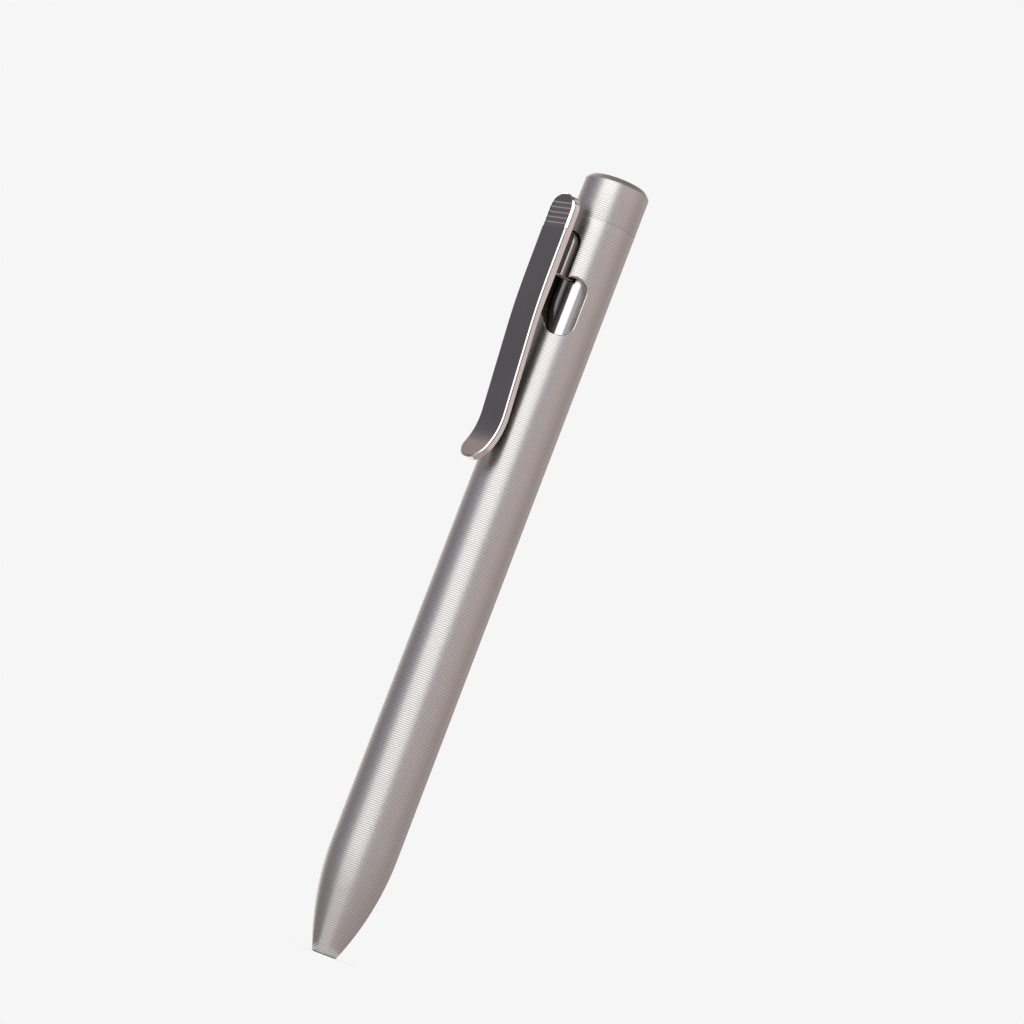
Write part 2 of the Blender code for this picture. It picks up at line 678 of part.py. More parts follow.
def make_refill(carrier, finishes):
    """The refill: tube, tail plug, tip holder, metal tip, writing ball, ink and follower."""
    bore = REFILL_RADIUS - REFILL_WALL
    plug = bore - INK_CLEARANCE
    tube_top = REFILL_TAIL_DEPTH + TAIL_FLANGE_LENGTH + SEAT_GAP
    tube = [
        (bore, tube_top),
        (REFILL_RADIUS, tube_top),
        (REFILL_RADIUS, TUBE_FRONT_DEPTH),
        (bore, TUBE_FRONT_DEPTH),
    ]
    piece("refill_tube", turned(tube, REFILL_SEGMENTS), carrier, finishes["refill_tube"])

    flange_end = REFILL_TAIL_DEPTH + TAIL_FLANGE_LENGTH
    tail = [
        (TAIL_VENT_RADIUS, REFILL_TAIL_DEPTH),
        (REFILL_RADIUS, REFILL_TAIL_DEPTH),
        (REFILL_RADIUS, flange_end),
        (plug, flange_end),
        (plug, flange_end + TAIL_SPIGOT_LENGTH),
        (TAIL_VENT_RADIUS, flange_end + TAIL_SPIGOT_LENGTH),
    ]
    piece("refill_tail_plug", turned(tail, REFILL_SEGMENTS), carrier, finishes["refill_plug"])

    spigot_top = HOLDER_FLANGE_DEPTH - HOLDER_SPIGOT_LENGTH
    body = [
        (HOLDER_BORE_RADIUS, spigot_top),
        (plug, spigot_top),
        (plug, HOLDER_FLANGE_DEPTH),
        (REFILL_RADIUS, HOLDER_FLANGE_DEPTH),
        (REFILL_RADIUS, HOLDER_SHOULDER_DEPTH),
        (HOLDER_SHANK_RADIUS, HOLDER_SHOULDER_DEPTH),
        (HOLDER_SHANK_RADIUS, HOLDER_END_DEPTH),
        (HOLDER_BORE_RADIUS, HOLDER_END_DEPTH),
    ]
    piece("refill_tip_holder", turned(body, REFILL_SEGMENTS), carrier, finishes["refill_plug"])

    ball_depth = REFILL_TIP_DEPTH + BALL_SHOWS - BALL_RADIUS
    socket_radius = BALL_RADIUS + BALL_CLEARANCE
    socket_top = ball_depth - socket_radius
    tip = [
        (TIP_INK_HOLE_RADIUS, TIP_BODY_DEPTH - TIP_STEM_LENGTH),
        (TIP_STEM_RADIUS, TIP_BODY_DEPTH - TIP_STEM_LENGTH),
        (TIP_STEM_RADIUS, TIP_BODY_DEPTH),
        (TIP_RADIUS, TIP_BODY_DEPTH),
        (TIP_RADIUS, TIP_BODY_DEPTH + TIP_BODY_LENGTH),
        (TIP_RIM_RADIUS, REFILL_TIP_DEPTH),
        (socket_radius, REFILL_TIP_DEPTH),
        (socket_radius, socket_top),
        (TIP_INK_HOLE_RADIUS, socket_top),
    ]
    piece("refill_tip", turned(tip, TIP_SEGMENTS), carrier, finishes["refill_tip"])

    ball = bmesh.new()
    bmesh.ops.create_uvsphere(ball, u_segments=14, v_segments=8, radius=BALL_RADIUS)
    ball.transform(Matrix.Translation((0.0, 0.0, -ball_depth)))
    piece("writing_ball", ball, carrier, finishes["ball"])

    follower_top = flange_end + TAIL_SPIGOT_LENGTH + AIR_LENGTH
    follower_end = follower_top + FOLLOWER_LENGTH
    ink_top = follower_end + SEAT_GAP
    ink_end = spigot_top - SEAT_GAP
    ink = [(0.0, ink_top), (plug, ink_top), (plug, ink_end), (0.0, ink_end)]
    piece("ink_column", turned(ink, TIP_SEGMENTS), carrier, finishes["ink"])
    grease = [(0.0, follower_top), (plug, follower_top), (plug, follower_end), (0.0, follower_end)]
    piece("ink_follower", turned(grease, TIP_SEGMENTS), carrier, finishes["follower"])


def make_spring(carrier, metal):
    """The return spring in the nose, wound as one unbroken tube round the refill's holder."""
    top = HOLDER_SHOULDER_DEPTH + SEAT_GAP + SPRING_WIRE_RADIUS
    bottom = SPRING_ROOM_END - SEAT_GAP - SPRING_WIRE_RADIUS
    count = SPRING_TURNS * SPRING_POINTS_A_TURN
    curve = bpy.data.curves.new("return_spring", "CURVE")
    curve.dimensions = "3D"
    curve.bevel_depth = SPRING_WIRE_RADIUS
    curve.bevel_resolution = 1
    curve.use_fill_caps = True
    line = curve.splines.new("POLY")
    line.points.add(count)
    points = []
    for i in range(count + 1):
        angle = math.tau * i / SPRING_POINTS_A_TURN
        depth = top + (bottom - top) * i / count
        point = Vector(
            (SPRING_MEAN_RADIUS * math.cos(angle), SPRING_MEAN_RADIUS * math.sin(angle), -depth)
        )
        points.append(point)
        local = point - carrier.location
        line.points[i].co = (local.x, local.y, local.z, 1.0)
    far_apart = SPRING_POINTS_A_TURN // 2
    least = min(
        (points[i] - points[j]).length
        for i in range(len(points))
        for j in range(i + far_apart, min(len(points), i + 2 * SPRING_POINTS_A_TURN))
    )
    print("return_spring least gap to itself: %.3f mm" % ((least - 2.0 * SPRING_WIRE_RADIUS) / MM))
    spring = bpy.data.objects.new("return_spring", curve)
    spring.parent = carrier
    bpy.context.collection.objects.link(spring)
    curve.materials.append(metal)
    return spring


def main():
    """Build the whole pen under one root, with an empty for each group that moves."""
    clear_scene()
    steel = finish("turned_steel", (0.62, 0.59, 0.58), 0.35, 1.0)
    dark_steel = finish("clip_steel", (0.42, 0.40, 0.40), 0.35, 1.0)
    polished = finish("polished_steel", (0.72, 0.71, 0.71), 0.12, 1.0)
    rubber = finish("black_rubber", (0.03, 0.03, 0.03), 0.7, 0.0)
    spring_wire = finish("spring_wire", (0.60, 0.60, 0.62), 0.25, 1.0)
    refill_finishes = {
        "refill_tube": finish("refill_tube", (0.82, 0.83, 0.84), 0.3, 0.0),
        "refill_plug": finish("refill_plastic", (0.80, 0.80, 0.80), 0.4, 0.0),
        "refill_tip": finish("refill_tip", (0.75, 0.73, 0.68), 0.25, 1.0),
        "ball": finish("carbide_ball", (0.40, 0.40, 0.42), 0.15, 1.0),
        "ink": finish("ink", (0.01, 0.01, 0.02), 0.3, 0.0),
        "follower": finish("follower_grease", (0.80, 0.76, 0.60), 0.4, 0.0),
    }
    pen = holder("pen")
    cap_group = holder("cap_group", pen)
    clip_group = holder("clip_group", pen, POST_ROUND_DEPTH)
    refill_group = holder("refill_group", pen, REFILL_TAIL_DEPTH)
    make_barrel(pen, steel)
    make_seal(pen, rubber)
    make_spring(pen, spring_wire)
    make_end_cap(cap_group, steel)
    make_clip(clip_group, dark_steel)
    make_post(clip_group, dark_steel)
    make_plunger(clip_group, polished)
    make_lock_screw(clip_group, dark_steel)
    make_refill(refill_group, refill_finishes)


main()
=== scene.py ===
"""The looks of a clip action pen: fine surfaces, finishes, studio and the photograph's camera.

Sizes are in millimetres, and a depth is measured down the pen's axis from the end cap's
flat face. A point of the pen is given by its radius, its turn about the axis (0 at the
clip's side, growing towards the catch pocket) and its depth. Angles are in degrees.
"""

import logging
import math
from dataclasses import dataclass, field
from enum import Enum

import bmesh
import bpy
import numpy as np
from mathutils import Matrix, Vector
from mathutils.geometry import delaunay_2d_cdt


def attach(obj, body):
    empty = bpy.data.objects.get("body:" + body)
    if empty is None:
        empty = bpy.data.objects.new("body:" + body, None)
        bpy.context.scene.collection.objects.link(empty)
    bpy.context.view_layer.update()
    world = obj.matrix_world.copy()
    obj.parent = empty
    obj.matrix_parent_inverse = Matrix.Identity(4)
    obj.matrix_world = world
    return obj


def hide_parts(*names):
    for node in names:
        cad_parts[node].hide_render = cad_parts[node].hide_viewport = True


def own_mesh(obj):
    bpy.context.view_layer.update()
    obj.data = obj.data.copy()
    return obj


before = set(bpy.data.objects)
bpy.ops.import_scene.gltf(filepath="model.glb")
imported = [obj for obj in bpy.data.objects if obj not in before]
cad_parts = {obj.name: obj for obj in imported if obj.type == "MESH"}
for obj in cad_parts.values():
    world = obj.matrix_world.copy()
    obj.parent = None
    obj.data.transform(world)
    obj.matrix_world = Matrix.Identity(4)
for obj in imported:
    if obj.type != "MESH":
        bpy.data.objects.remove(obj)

LOG = logging.getLogger("clip_action_pen")
MM = 0.001
QUARTER = math.pi / 2.0
COLUMNS = 240  # steps round the pen's axis
CORNER_STEPS = 5  # points on a rounded corner
WELD = 1e-7  # points closer than this, in metres, become one
CLOSE = 1e-6  # points of an unrolled wall closer than this become one
TINY = 1e-9  # the least number that is divided by
WINDOW_GAP = 0.1  # least distance from an opening's line to a point of the wall round it
THREAD_PITCH = 0.5
THREAD_ROWS = 73
THREAD_FADE = 0.6  # the share of the pitch over which a thread runs out
Array = np.ndarray
Numbers = np.ndarray | float
Pair = tuple[float, float]
Triple = tuple[float, float, float]
Colour = Triple
Object = bpy.types.Object
Material = bpy.types.Material


# Surfaces


@dataclass
class Surface:
    """Points in metres, shape (n, 3), and lists of faces of 3 or 4 corners."""

    points: Array
    faces: list[Array]


def upright(across: Numbers, out: Numbers, depth: Numbers) -> Array:
    """Points in metres from millimetres: x is across, y is minus out and z is minus the depth."""
    return np.stack(np.broadcast_arrays(across, -out, -depth), axis=-1) * MM


def place(radius: Numbers, turn: Array, depth: Array) -> Array:
    """Points whose distance across is radius times the turn's sine, and out times its cosine."""
    return upright(radius * np.sin(turn), radius * np.cos(turn), depth)


def circle(steps: int = COLUMNS) -> Array:
    """Even turns round a whole circle, in radians."""
    return np.arange(steps) * math.tau / steps


def grid(points: Array, wrap: bool = False) -> Surface:
    """A sheet of four-sided faces over a grid of points.

    Formula: the face of cell (i, j) joins points (i, j), (i, j+1), (i+1, j+1), (i+1, j).

    Args:
        points: Shape (rows, columns, 3).
        wrap: True to join the last column to the first.

    Returns:
        The sheet.
    """
    rows, columns = points.shape[:2]
    index = np.arange(rows * columns).reshape(rows, columns)
    if wrap:
        index = np.concatenate([index, index[:, :1]], axis=1)
    corners = [index[:-1, :-1], index[:-1, 1:], index[1:, 1:], index[1:, :-1]]
    faces = np.stack([corner.ravel() for corner in corners], axis=1)
    return Surface(points.reshape(-1, 3), [faces])


def joined(*parts: Surface) -> Surface:
    """Several surfaces as one, with the faces renumbered to match."""
    starts = np.cumsum([0] + [len(part.points) for part in parts[:-1]])
    return Surface(
        np.concatenate([part.points for part in parts]),
        [face + start for part, start in zip(parts, starts) for face in part.faces],
    )


def softened(corners: list[Triple]) -> Array:
    """A profile whose corners are rounded.

    Formula: near corner P with softness s, the line follows the parabola from the point s
    before P to the point s after it, with P as its control point.

    Args:
        corners: (radius, depth, softness) of each corner.

    Returns:
        Points (radius, depth), shape (n, 2).
    """
    table = np.array(corners, dtype=float)
    spots, softness = table[:, :2], table[:, 2:]
    back, ahead = (np.roll(spots, way, axis=0) - spots for way in (1, -1))
    start, end = (
        spots + leg / np.maximum(np.linalg.norm(leg, axis=1, keepdims=True), TINY) * softness
        for leg in (back, ahead)
    )
    share = np.linspace(0.0, 1.0, CORNER_STEPS)[None, :, None]
    line = (1 - share) ** 2 * start[:, None] + 2 * share * (1 - share) * spots[:, None]
    return (line + share**2 * end[:, None]).reshape(-1, 2)


def revolved(profile: Array, columns: int = COLUMNS) -> Surface:
    """A profile (radius, depth) turned: column j lies at the turn j / columns of a circle."""
    return grid(place(profile[:, :1], circle(columns), profile[:, 1:]), wrap=True)


def turned(corners: list[Triple], columns: int) -> Surface:
    """A turned piece from the (radius, depth, softness) of its closed profile's corners."""
    profile = softened(corners)
    return revolved(np.concatenate([profile, profile[:1]]), columns)


def threaded(radius: float, heights: Pair, depths: Pair) -> Surface:
    """A round wall with a thread that runs out at both ends.

    Formula: the radius changes between root and crest as a cosine of depth over pitch less
    the turn's share of a circle, times a fade that is 0 at both ends.

    Args:
        radius: The plain wall's radius.
        heights: How far the crest and the root stand from it.
        depths: First and last depth.

    Returns:
        The wall.
    """
    crest, root = heights
    depth = np.linspace(*depths, THREAD_ROWS)[:, None]
    to_end = np.minimum(depth - min(depths), max(depths) - depth)
    fade = np.clip(to_end / (THREAD_FADE * THREAD_PITCH), 0.0, 1.0)
    wave = 0.5 + 0.5 * np.cos(math.tau * depth / THREAD_PITCH - circle())
    return grid(place(radius + fade * (root + (crest - root) * wave), circle(), depth), wrap=True)


def inside(points: Array, loop: Array) -> Array:
    """Which points lie inside a closed line.

    Formula: a point is inside when a ray from it crosses the line an odd number of times.

    Args:
        points: Shape (n, 2).
        loop: The line's corners, shape (k, 2).

    Returns:
        A truth value for each point.
    """
    x, y = points[:, :1], points[:, 1:]
    ax, ay = loop[:, 0], loop[:, 1]
    bx, by = np.roll(ax, -1), np.roll(ay, -1)
    rise = np.where(by == ay, TINY, by - ay)
    crossed = ((ay > y) != (by > y)) & (x < (bx - ax) * (y - ay) / rise + ax)
    return crossed.sum(axis=1) % 2 == 1


def skin_with_window(radius: float, turns: Array, depths: Array, window: Array) -> Surface:
    """A patch of a round wall with an opening in it.

    Formula: the wall is unrolled to (turn times radius, depth); its grid of points, less
    those in or near the opening, and the opening's own line are joined by a constrained
    Delaunay triangulation, and the triangles inside the opening are left out.

    Args:
        radius: The wall's radius.
        turns: The patch's columns, in radians.
        depths: The patch's rows.
        window: The opening's line as (turn, depth), shape (k, 2).

    Returns:
        The patch.
    """
    loop = window * np.array([radius, 1.0])
    across, down = np.meshgrid(turns * radius, depths)
    spots = np.stack([across.ravel(), down.ravel()], axis=1)
    gap = np.linalg.norm(spots[:, None] - loop[None], axis=2).min(axis=1)
    spots = spots[(gap > WINDOW_GAP) & ~inside(spots, loop)]
    count = len(spots)
    edges = [(count + i, count + (i + 1) % len(loop)) for i in range(len(loop))]
    flat = [Vector(spot) for spot in np.concatenate([spots, loop])]
    found, _, faces, _, _, _ = delaunay_2d_cdt(flat, edges, [], 0, CLOSE)
    places = np.array([tuple(spot) for spot in found])
    triangles = np.array(faces)
    triangles = triangles[~inside(places[triangles].mean(axis=1), loop)]
    return Surface(place(radius, places[:, 0] / radius, places[:, 1]), [triangles])


def placed(name: str, data: bpy.types.Mesh | bpy.types.Camera) -> Object:
    """A new object in the scene, at the origin.

    Args:
        name: The object's name.
        data: Its mesh or camera.

    Returns:
        The object.
    """
    piece = bpy.data.objects.new(name, data)
    bpy.context.collection.objects.link(piece)
    return piece


def mesh_from(name: str, surface: Surface) -> bpy.types.Mesh:
    """A mesh of a surface's points and faces.

    Args:
        name: The mesh's name.
        surface: The surface.

    Returns:
        The mesh.
    """
    mesh = bpy.data.meshes.new(name)
    faces = [corners for face in surface.faces for corners in face.tolist()]
    mesh.from_pydata(surface.points.tolist(), [], faces)
    return mesh


def object_from(name: str, surface: Surface, sharp: float = 32.0) -> Object:
    """A finished object from a surface.

    Points in one place are merged, which closes seams and poles, the faces are turned
    outwards, and the faces are shaded smooth between edges sharper than an angle.

    Args:
        name: The piece's name.
        surface: Its points and faces.
        sharp: The least angle of a sharp edge.

    Returns:
        The object.
    """
    mesh = mesh_from(name, surface)
    shape = bmesh.new()
    shape.from_mesh(mesh)
    bmesh.ops.remove_doubles(shape, verts=shape.verts, dist=WELD)
    bmesh.ops.dissolve_degenerate(shape, edges=shape.edges, dist=WELD)
    bmesh.ops.delete(shape, geom=[edge for edge in shape.edges if edge.is_wire], context="EDGES")
    bmesh.ops.recalc_face_normals(shape, faces=shape.faces)
    open_edges = sum(1 for edge in shape.edges if not edge.is_manifold)
    shape.to_mesh(mesh)
    shape.free()
    mesh.shade_smooth()
    mesh.set_sharp_from_angle(angle=math.radians(sharp))
    LOG.info("%s: %d faces, %d open edges", name, len(mesh.polygons), open_edges)
    return placed(name, mesh)


# Shader maths


class Graph:
    """The nodes of one material or of the world."""

    def __init__(self, owner: Material | bpy.types.World) -> None:
        """Turns the nodes on, empties their tree and keeps it.

        Args:
            owner: The material or the world.
        """
        owner.use_nodes = True
        self.tree = owner.node_tree
        self.tree.nodes.clear()

    def add(self, kind: str, inputs: dict | None = None, output: int = 0, **settings: str) -> "Value":
        """Adds one node.

        Args:
            kind: The node's type, without its first word ShaderNode.
            inputs: Values or links of its sockets, by name or number.
            output: The number of the output that is wanted.
            settings: Its own settings, which are set first.

        Returns:
            That output.
        """
        node = self.tree.nodes.new(f"ShaderNode{kind}")
        for name, setting in settings.items():
            setattr(node, name, setting)
        for name, given in (inputs or {}).items():
            if isinstance(given, Value):
                self.tree.links.new(given.socket, node.inputs[name])
            else:
                node.inputs[name].default_value = given
        return Value(self, node.outputs[output] if len(node.outputs) else None)

    def close(self, kind: str, inputs: dict, end: str = "OutputMaterial") -> None:
        """Adds the last shader and the output node that it goes to."""
        self.add(end, {"Surface": self.add(kind, inputs)})

    def mix(self, share: "Value", low: "Value | Colour", high: "Value | Colour") -> "Value":
        """A colour between two colours, by a share from 0 to 1."""
        colours = [given if isinstance(given, Value) else (*given, 1.0) for given in (low, high)]
        return self.add("Mix", {0: share, 6: colours[0], 7: colours[1]}, 2, data_type="RGBA")

    def toned(self, share: "Value", colour: Colour, change: float) -> "Value":
        """A colour darker by a change at a share of 0 and lighter by it at a share of 1."""
        low, high = (tuple(part * level for part in colour) for level in (1.0 - change, 1.0 + change))
        return self.mix(share, low, high)

    def noise(self, vector: "Value", scale: float, detail: float) -> "Value":
        """Soft random values between 0 and 1 over a vector."""
        return self.add("TexNoise", {"Vector": vector, "Scale": scale, "Detail": detail})

    def part(self, vector: "Value", number: int) -> "Value":
        """One part of a vector: 0 for x, 1 for y and 2 for z."""
        return self.add("SeparateXYZ", {0: vector}, number)

    def facing(self, number: int) -> "Value":
        """One part of the surface's normal."""
        return self.part(self.add("TexCoord", output=1), number)

    def place(self) -> "Value":
        """The shaded point in the object's own metres."""
        return self.add("TexCoord", output=3)

    def spot(self) -> "list[Value]":
        """The shaded point's x, y and z and its distance from the pen's axis, in millimetres."""
        x, y, z = (self.part(self.place(), number) * (1.0 / MM) for number in range(3))
        return [x, y, z, (x * x + y * y).math("SQRT")]

    def relief(self, height: "Value", depth: float) -> "Value":
        """A bumped normal from a height in shares of a depth in millimetres."""
        return self.add("Bump", {"Strength": 1.0, "Distance": depth * MM, "Height": height})


class Value:
    """A socket with arithmetic: an expression on values adds its Math nodes."""

    def __init__(self, graph: Graph, socket: bpy.types.NodeSocket | None) -> None:
        """Keeps the socket and the graph that it belongs to."""
        self.graph = graph
        self.socket = socket

    def math(self, operation: str, *others: "Value | float") -> "Value":
        """This value and others through one Math node."""
        return self.graph.add("Math", dict(enumerate((self, *others))), operation=operation)

    def __add__(self, other: "Value | float") -> "Value":
        """This value plus another."""
        return self.math("ADD", other)

    __radd__ = __add__

    def __mul__(self, other: "Value | float") -> "Value":
        """This value times another."""
        return self.math("MULTIPLY", other)

    __rmul__ = __mul__

    def __sub__(self, other: "Value | float") -> "Value":
        """This value less another."""
        return self.math("SUBTRACT", other)

    def __rsub__(self, other: float) -> "Value":
        """A number less this value."""
        return (self * -1.0) + other

    def limited(self) -> "Value":
        """This value held between 0 and 1."""
        return self.math("MAXIMUM", 0.0).math("MINIMUM", 1.0)

    def ramp(self, low: float, high: float) -> "Value":
        """0 below one number, 1 above another and straight between them."""
        return ((self - low) * (1.0 / (high - low))).limited()

    def between(self, low: "Value | float", high: float) -> "Value":
        """One value where this share is 0, another where it is 1 and a blend between them."""
        return low * (1.0 - self) + self * high


# Finishes


class Grain(Enum):
    """How a metal's marks run: their noise's scales in x, y and z, per metre, and its detail."""

    TURNED = (160.0, 160.0, 14000.0, 3.0)
    BRUSHED = (6000.0, 6000.0, 1500.0, 2.0)


class Where(Enum):
    """What a zone of a finish goes by."""

    DEPTH = "distance below the cap's flat face"
    WALL = "distance from the axis beside the track"
    SHADED = "the same, where the clip keeps the light off"
    REACH = "distance from the axis towards the clip"
    FACING = "the normal's part away from the clip's side, from -1 to 1"


WALL_STARTS = (-10.0, -9.0)  # heights between which the track's zones start
WALL_ENDS = (-59.0, -60.0)  # heights between which they end
BEYOND = 100.0  # what a point outside the track's zones adds to its radius
LIGHT_HEIGHT = -20.0  # the height where the light's edge crosses the clip's middle
LIGHT_LEAN = 0.33
LIGHT_EDGE = (0.5, 0.8)


@dataclass(frozen=True)
class Zone:
    """A part of a piece with another tone and polish, reached over a span of a measure; some zones' tones are
    painted shade, painted highlights and painted reflections.
    """

    where: Where
    span: Pair
    colour: Colour
    roughness: float
    metallic: float = 1.0

    def share(self, graph: Graph) -> Value:
        """How far the shaded point lies in the zone.

        The wall's measure is the radius, with a great length added above and below the
        track; the shaded wall adds it on the pocket's side of a line that leans with the
        ramp too.

        Args:
            graph: The material's graph.

        Returns:
            0 outside the zone and 1 inside it.
        """
        if self.where is Where.FACING:
            return graph.facing(1).ramp(*self.span)
        x, y, z, measure = graph.spot()
        if self.where in (Where.DEPTH, Where.REACH):
            measure = (z if self.where is Where.DEPTH else y) * -1.0
        else:
            beyond = z.ramp(*WALL_STARTS) + z.ramp(*WALL_ENDS)
            if self.where is Where.SHADED:
                beyond = beyond + (x + (z - LIGHT_HEIGHT) * LIGHT_LEAN).ramp(*LIGHT_EDGE)
            measure = measure + beyond * BEYOND
        return measure.ramp(*self.span)


CLOUD_SCALE = 260.0
END_FACE = (0.75, 0.9)  # parts of the normal along the axis between which a face counts as an end
RING_LEAN = 0.15  # how far a ring leans along the axis for each millimetre of radius
RING_WANDER = 3.0  # how far the clouds move a ring, in radians
RING_PATCHES = (1.0 / 6.0, 0.5)  # clouds between which the rings grow
RING_LEVELS = (0.6, 0.8)  # the rings' least strength and how much it grows
MARK_HEIGHT = 0.35
MARK_DEPTH = 0.0008
MARK_TURN = 0.25  # the highlights' turn, in shares of a circle
TONE_CHANGE = 0.5


@dataclass(frozen=True)
class MetalFinish:
    """A bare metal with tool marks, tone changes and a grain that spreads its highlights."""

    name: str
    colour: Colour
    roughness: float
    grain: Grain = Grain.TURNED
    spread: float = 0.0
    feed: float = 0.3725
    ring_height: float = 0.0
    ring_tone: float = 0.0
    tone: float = 0.12
    roughness_change: float = 0.05
    zones: tuple[Zone, ...] = ()

    def inputs(self, graph: Graph) -> dict[str, Value | float]:
        """The finish as inputs of a Principled shader.

        The tool marks are a sine of the depth less a little of the radius, one wave for
        each feed of the tool; on an end face they go by the radius. A zone has no rings.

        Args:
            graph: The material's graph.

        Returns:
            The inputs by name.
        """
        _, _, z, radius = graph.spot()
        *scales, detail = self.grain.value
        stretched = graph.add("VectorMath", {0: graph.place(), 1: scales}, operation="MULTIPLY")
        marks = graph.noise(stretched, 1.0, detail)
        clouds = graph.noise(graph.place(), CLOUD_SCALE, 3.0)
        on_end = graph.facing(2).math("ABSOLUTE").ramp(*END_FACE)
        along = z + radius * (on_end * (1.0 + RING_LEAN) - RING_LEAN)
        rings = (along * (math.tau / self.feed) + (clouds - 0.5) * RING_WANDER).math("SINE")
        least, growth = RING_LEVELS
        rings = rings * (clouds.ramp(*RING_PATCHES) * growth + least)
        plain = (marks - 0.5) * self.tone + (clouds - 0.5) * (self.tone * 0.5) + 0.5
        # ring_tone paints the rings lighter and darker along the tool marks: a painted reflection of the
        # ribs, whose real relief is the bump below
        colour = graph.toned((plain + rings * self.ring_tone).limited(), self.colour, TONE_CHANGE)
        rough: Value = (marks - 0.5) * (self.roughness_change * 2.0) + self.roughness
        metallic: Value | float = 1.0
        for zone in self.zones:
            within = zone.share(graph)
            rings = rings * (1.0 - within)
            colour = graph.mix(within, colour, graph.toned(plain.limited(), zone.colour, TONE_CHANGE))
            rough = within.between(rough, zone.roughness)
            if zone.metallic < 1.0:
                metallic = within.between(metallic, zone.metallic)
        height = (marks - 0.5) * MARK_HEIGHT + rings * (1.0 if self.ring_height else 0.0)
        return {
            "Base Color": colour,
            "Metallic": metallic,
            "Roughness": rough,
            "Normal": graph.relief(height, self.ring_height or MARK_DEPTH),
            "Anisotropic": self.spread,
            "Anisotropic Rotation": MARK_TURN,
        }


@dataclass(frozen=True)
class SoftFinish:
    """A plastic, rubber, ink or grease: a tone that drifts a little and a fine surface."""

    name: str
    colour: Colour
    roughness: float
    transmission: float = 0.0
    refraction: float = 1.5
    coat: float = 0.0
    grain: float = 900.0
    fineness: float = 6.0
    roughness_change: float = 0.1
    tone: float = 0.1
    depth: float = 0.004

    def inputs(self, graph: Graph) -> dict[str, Value | float]:
        """The finish as inputs of a Principled shader: one noise for tone, a finer one for relief.

        Args:
            graph: The material's graph.

        Returns:
            The inputs by name.
        """
        clouds = graph.noise(graph.place(), self.grain, 3.0)
        fine = graph.noise(graph.place(), self.grain * self.fineness, 2.0)
        return {
            "Base Color": graph.toned(clouds, self.colour, self.tone),
            "Roughness": (fine - 0.5) * self.roughness_change + self.roughness,
            "Normal": graph.relief(fine, self.depth),
            "Transmission Weight": self.transmission,
            "IOR": self.refraction,
            "Coat Weight": self.coat,
        }


Finish = MetalFinish | SoftFinish
TURNED_STEEL = MetalFinish(
    "turned_steel", (0.62, 0.59, 0.58), 0.34,
    spread=0.1, ring_height=0.007, ring_tone=0.17, roughness_change=0.02,
    zones=(
        # the track's broken edge: smoother, and lighter in colour, a painted highlight
        Zone(Where.WALL, (5.994, 5.986), (0.80, 0.78, 0.76), 0.2),
        Zone(Where.WALL, (5.91, 5.88), (0.62, 0.525, 0.475), 0.5, 0.5),
        # painted shade: the track's wall is nearly black and matt where the clip keeps the light off
        Zone(Where.SHADED, (5.91, 5.88), (0.02, 0.015, 0.012), 0.6, 0.0),
        Zone(Where.DEPTH, (1.0, 0.9), (0.50, 0.475, 0.47), 0.55),
        # painted shadow: the nose's last edge is darkened for the gap under it on the floor
        Zone(Where.DEPTH, (143.78, 143.9), (0.10, 0.09, 0.09), 0.4),
    ),
)
CLIP_STEEL = MetalFinish(
    "clip_steel", (0.97, 0.90, 0.86), 0.13, Grain.BRUSHED, spread=0.3, roughness_change=0.02,
    zones=(
        # painted reflection: the thin facet between the side and the chamfer is nearly black
        Zone(Where.FACING, (-0.09, -0.14), (0.14, 0.13, 0.14), 0.3),
        Zone(Where.FACING, (-0.4, -0.5), (0.97, 0.90, 0.86), 0.13),
        # painted reflection: the clip is darker and browner on the ski, and its face is brown where it slopes
        # like the ski's, for the warm room that it reflects
        Zone(Where.DEPTH, (52.8, 54.0), (0.72, 0.65, 0.61), 0.2),
        Zone(Where.FACING, (-0.80, -0.86), (0.62, 0.525, 0.485), 0.3),
        # the straight face is dark grey: partly its own darker finish, partly a painted reflection of the
        # dark room beside it
        Zone(Where.FACING, (-0.912, -0.978), (0.30, 0.29, 0.29), 0.3),
        # painted shade: the back, which faces the barrel, is darker
        Zone(Where.FACING, (0.8, 0.95), (0.22, 0.21, 0.21), 0.3),
    ),
)
# Painted shade: the post and the boss are nearly black for the shade in the slot and under the clip.
SHADED_POST_STEEL = MetalFinish(
    "post_steel_painted_shade", (0.05, 0.045, 0.04), 0.28, Grain.BRUSHED, spread=0.3,
    zones=(
        # painted shade: the post grows lighter towards the clip's side, away from the slot's wall
        Zone(Where.REACH, (5.9, 6.9), (0.42, 0.38, 0.36), 0.28),
        # painted shade: dark again on the post's outer face and on the boss
        Zone(Where.REACH, (7.04, 7.06), (0.10, 0.09, 0.09), 0.28),
        # the underside is a lighter brown and partly matt
        Zone(Where.DEPTH, (19.93, 19.97), (0.30, 0.235, 0.19), 0.5, 0.2),
    ),
)
POLISHED_STEEL = MetalFinish(
    "polished_steel", (0.72, 0.71, 0.71), 0.2, spread=0.5, ring_height=0.0006, ring_tone=0.01, tone=0.06
)
SCREW_STEEL = MetalFinish("screw_steel", (0.30, 0.30, 0.31), 0.3, ring_height=0.001, ring_tone=0.03)
SPRING_WIRE = MetalFinish("spring_wire", (0.60, 0.60, 0.62), 0.22)
TIP_METAL = MetalFinish("tip_metal", (0.75, 0.73, 0.68), 0.18, spread=0.5, ring_height=0.001, ring_tone=0.03)
CARBIDE = MetalFinish("ball_carbide", (0.40, 0.40, 0.42), 0.08, tone=0.04)
RUBBER = SoftFinish("seal_rubber", (0.03, 0.03, 0.03), 0.62, depth=0.008)
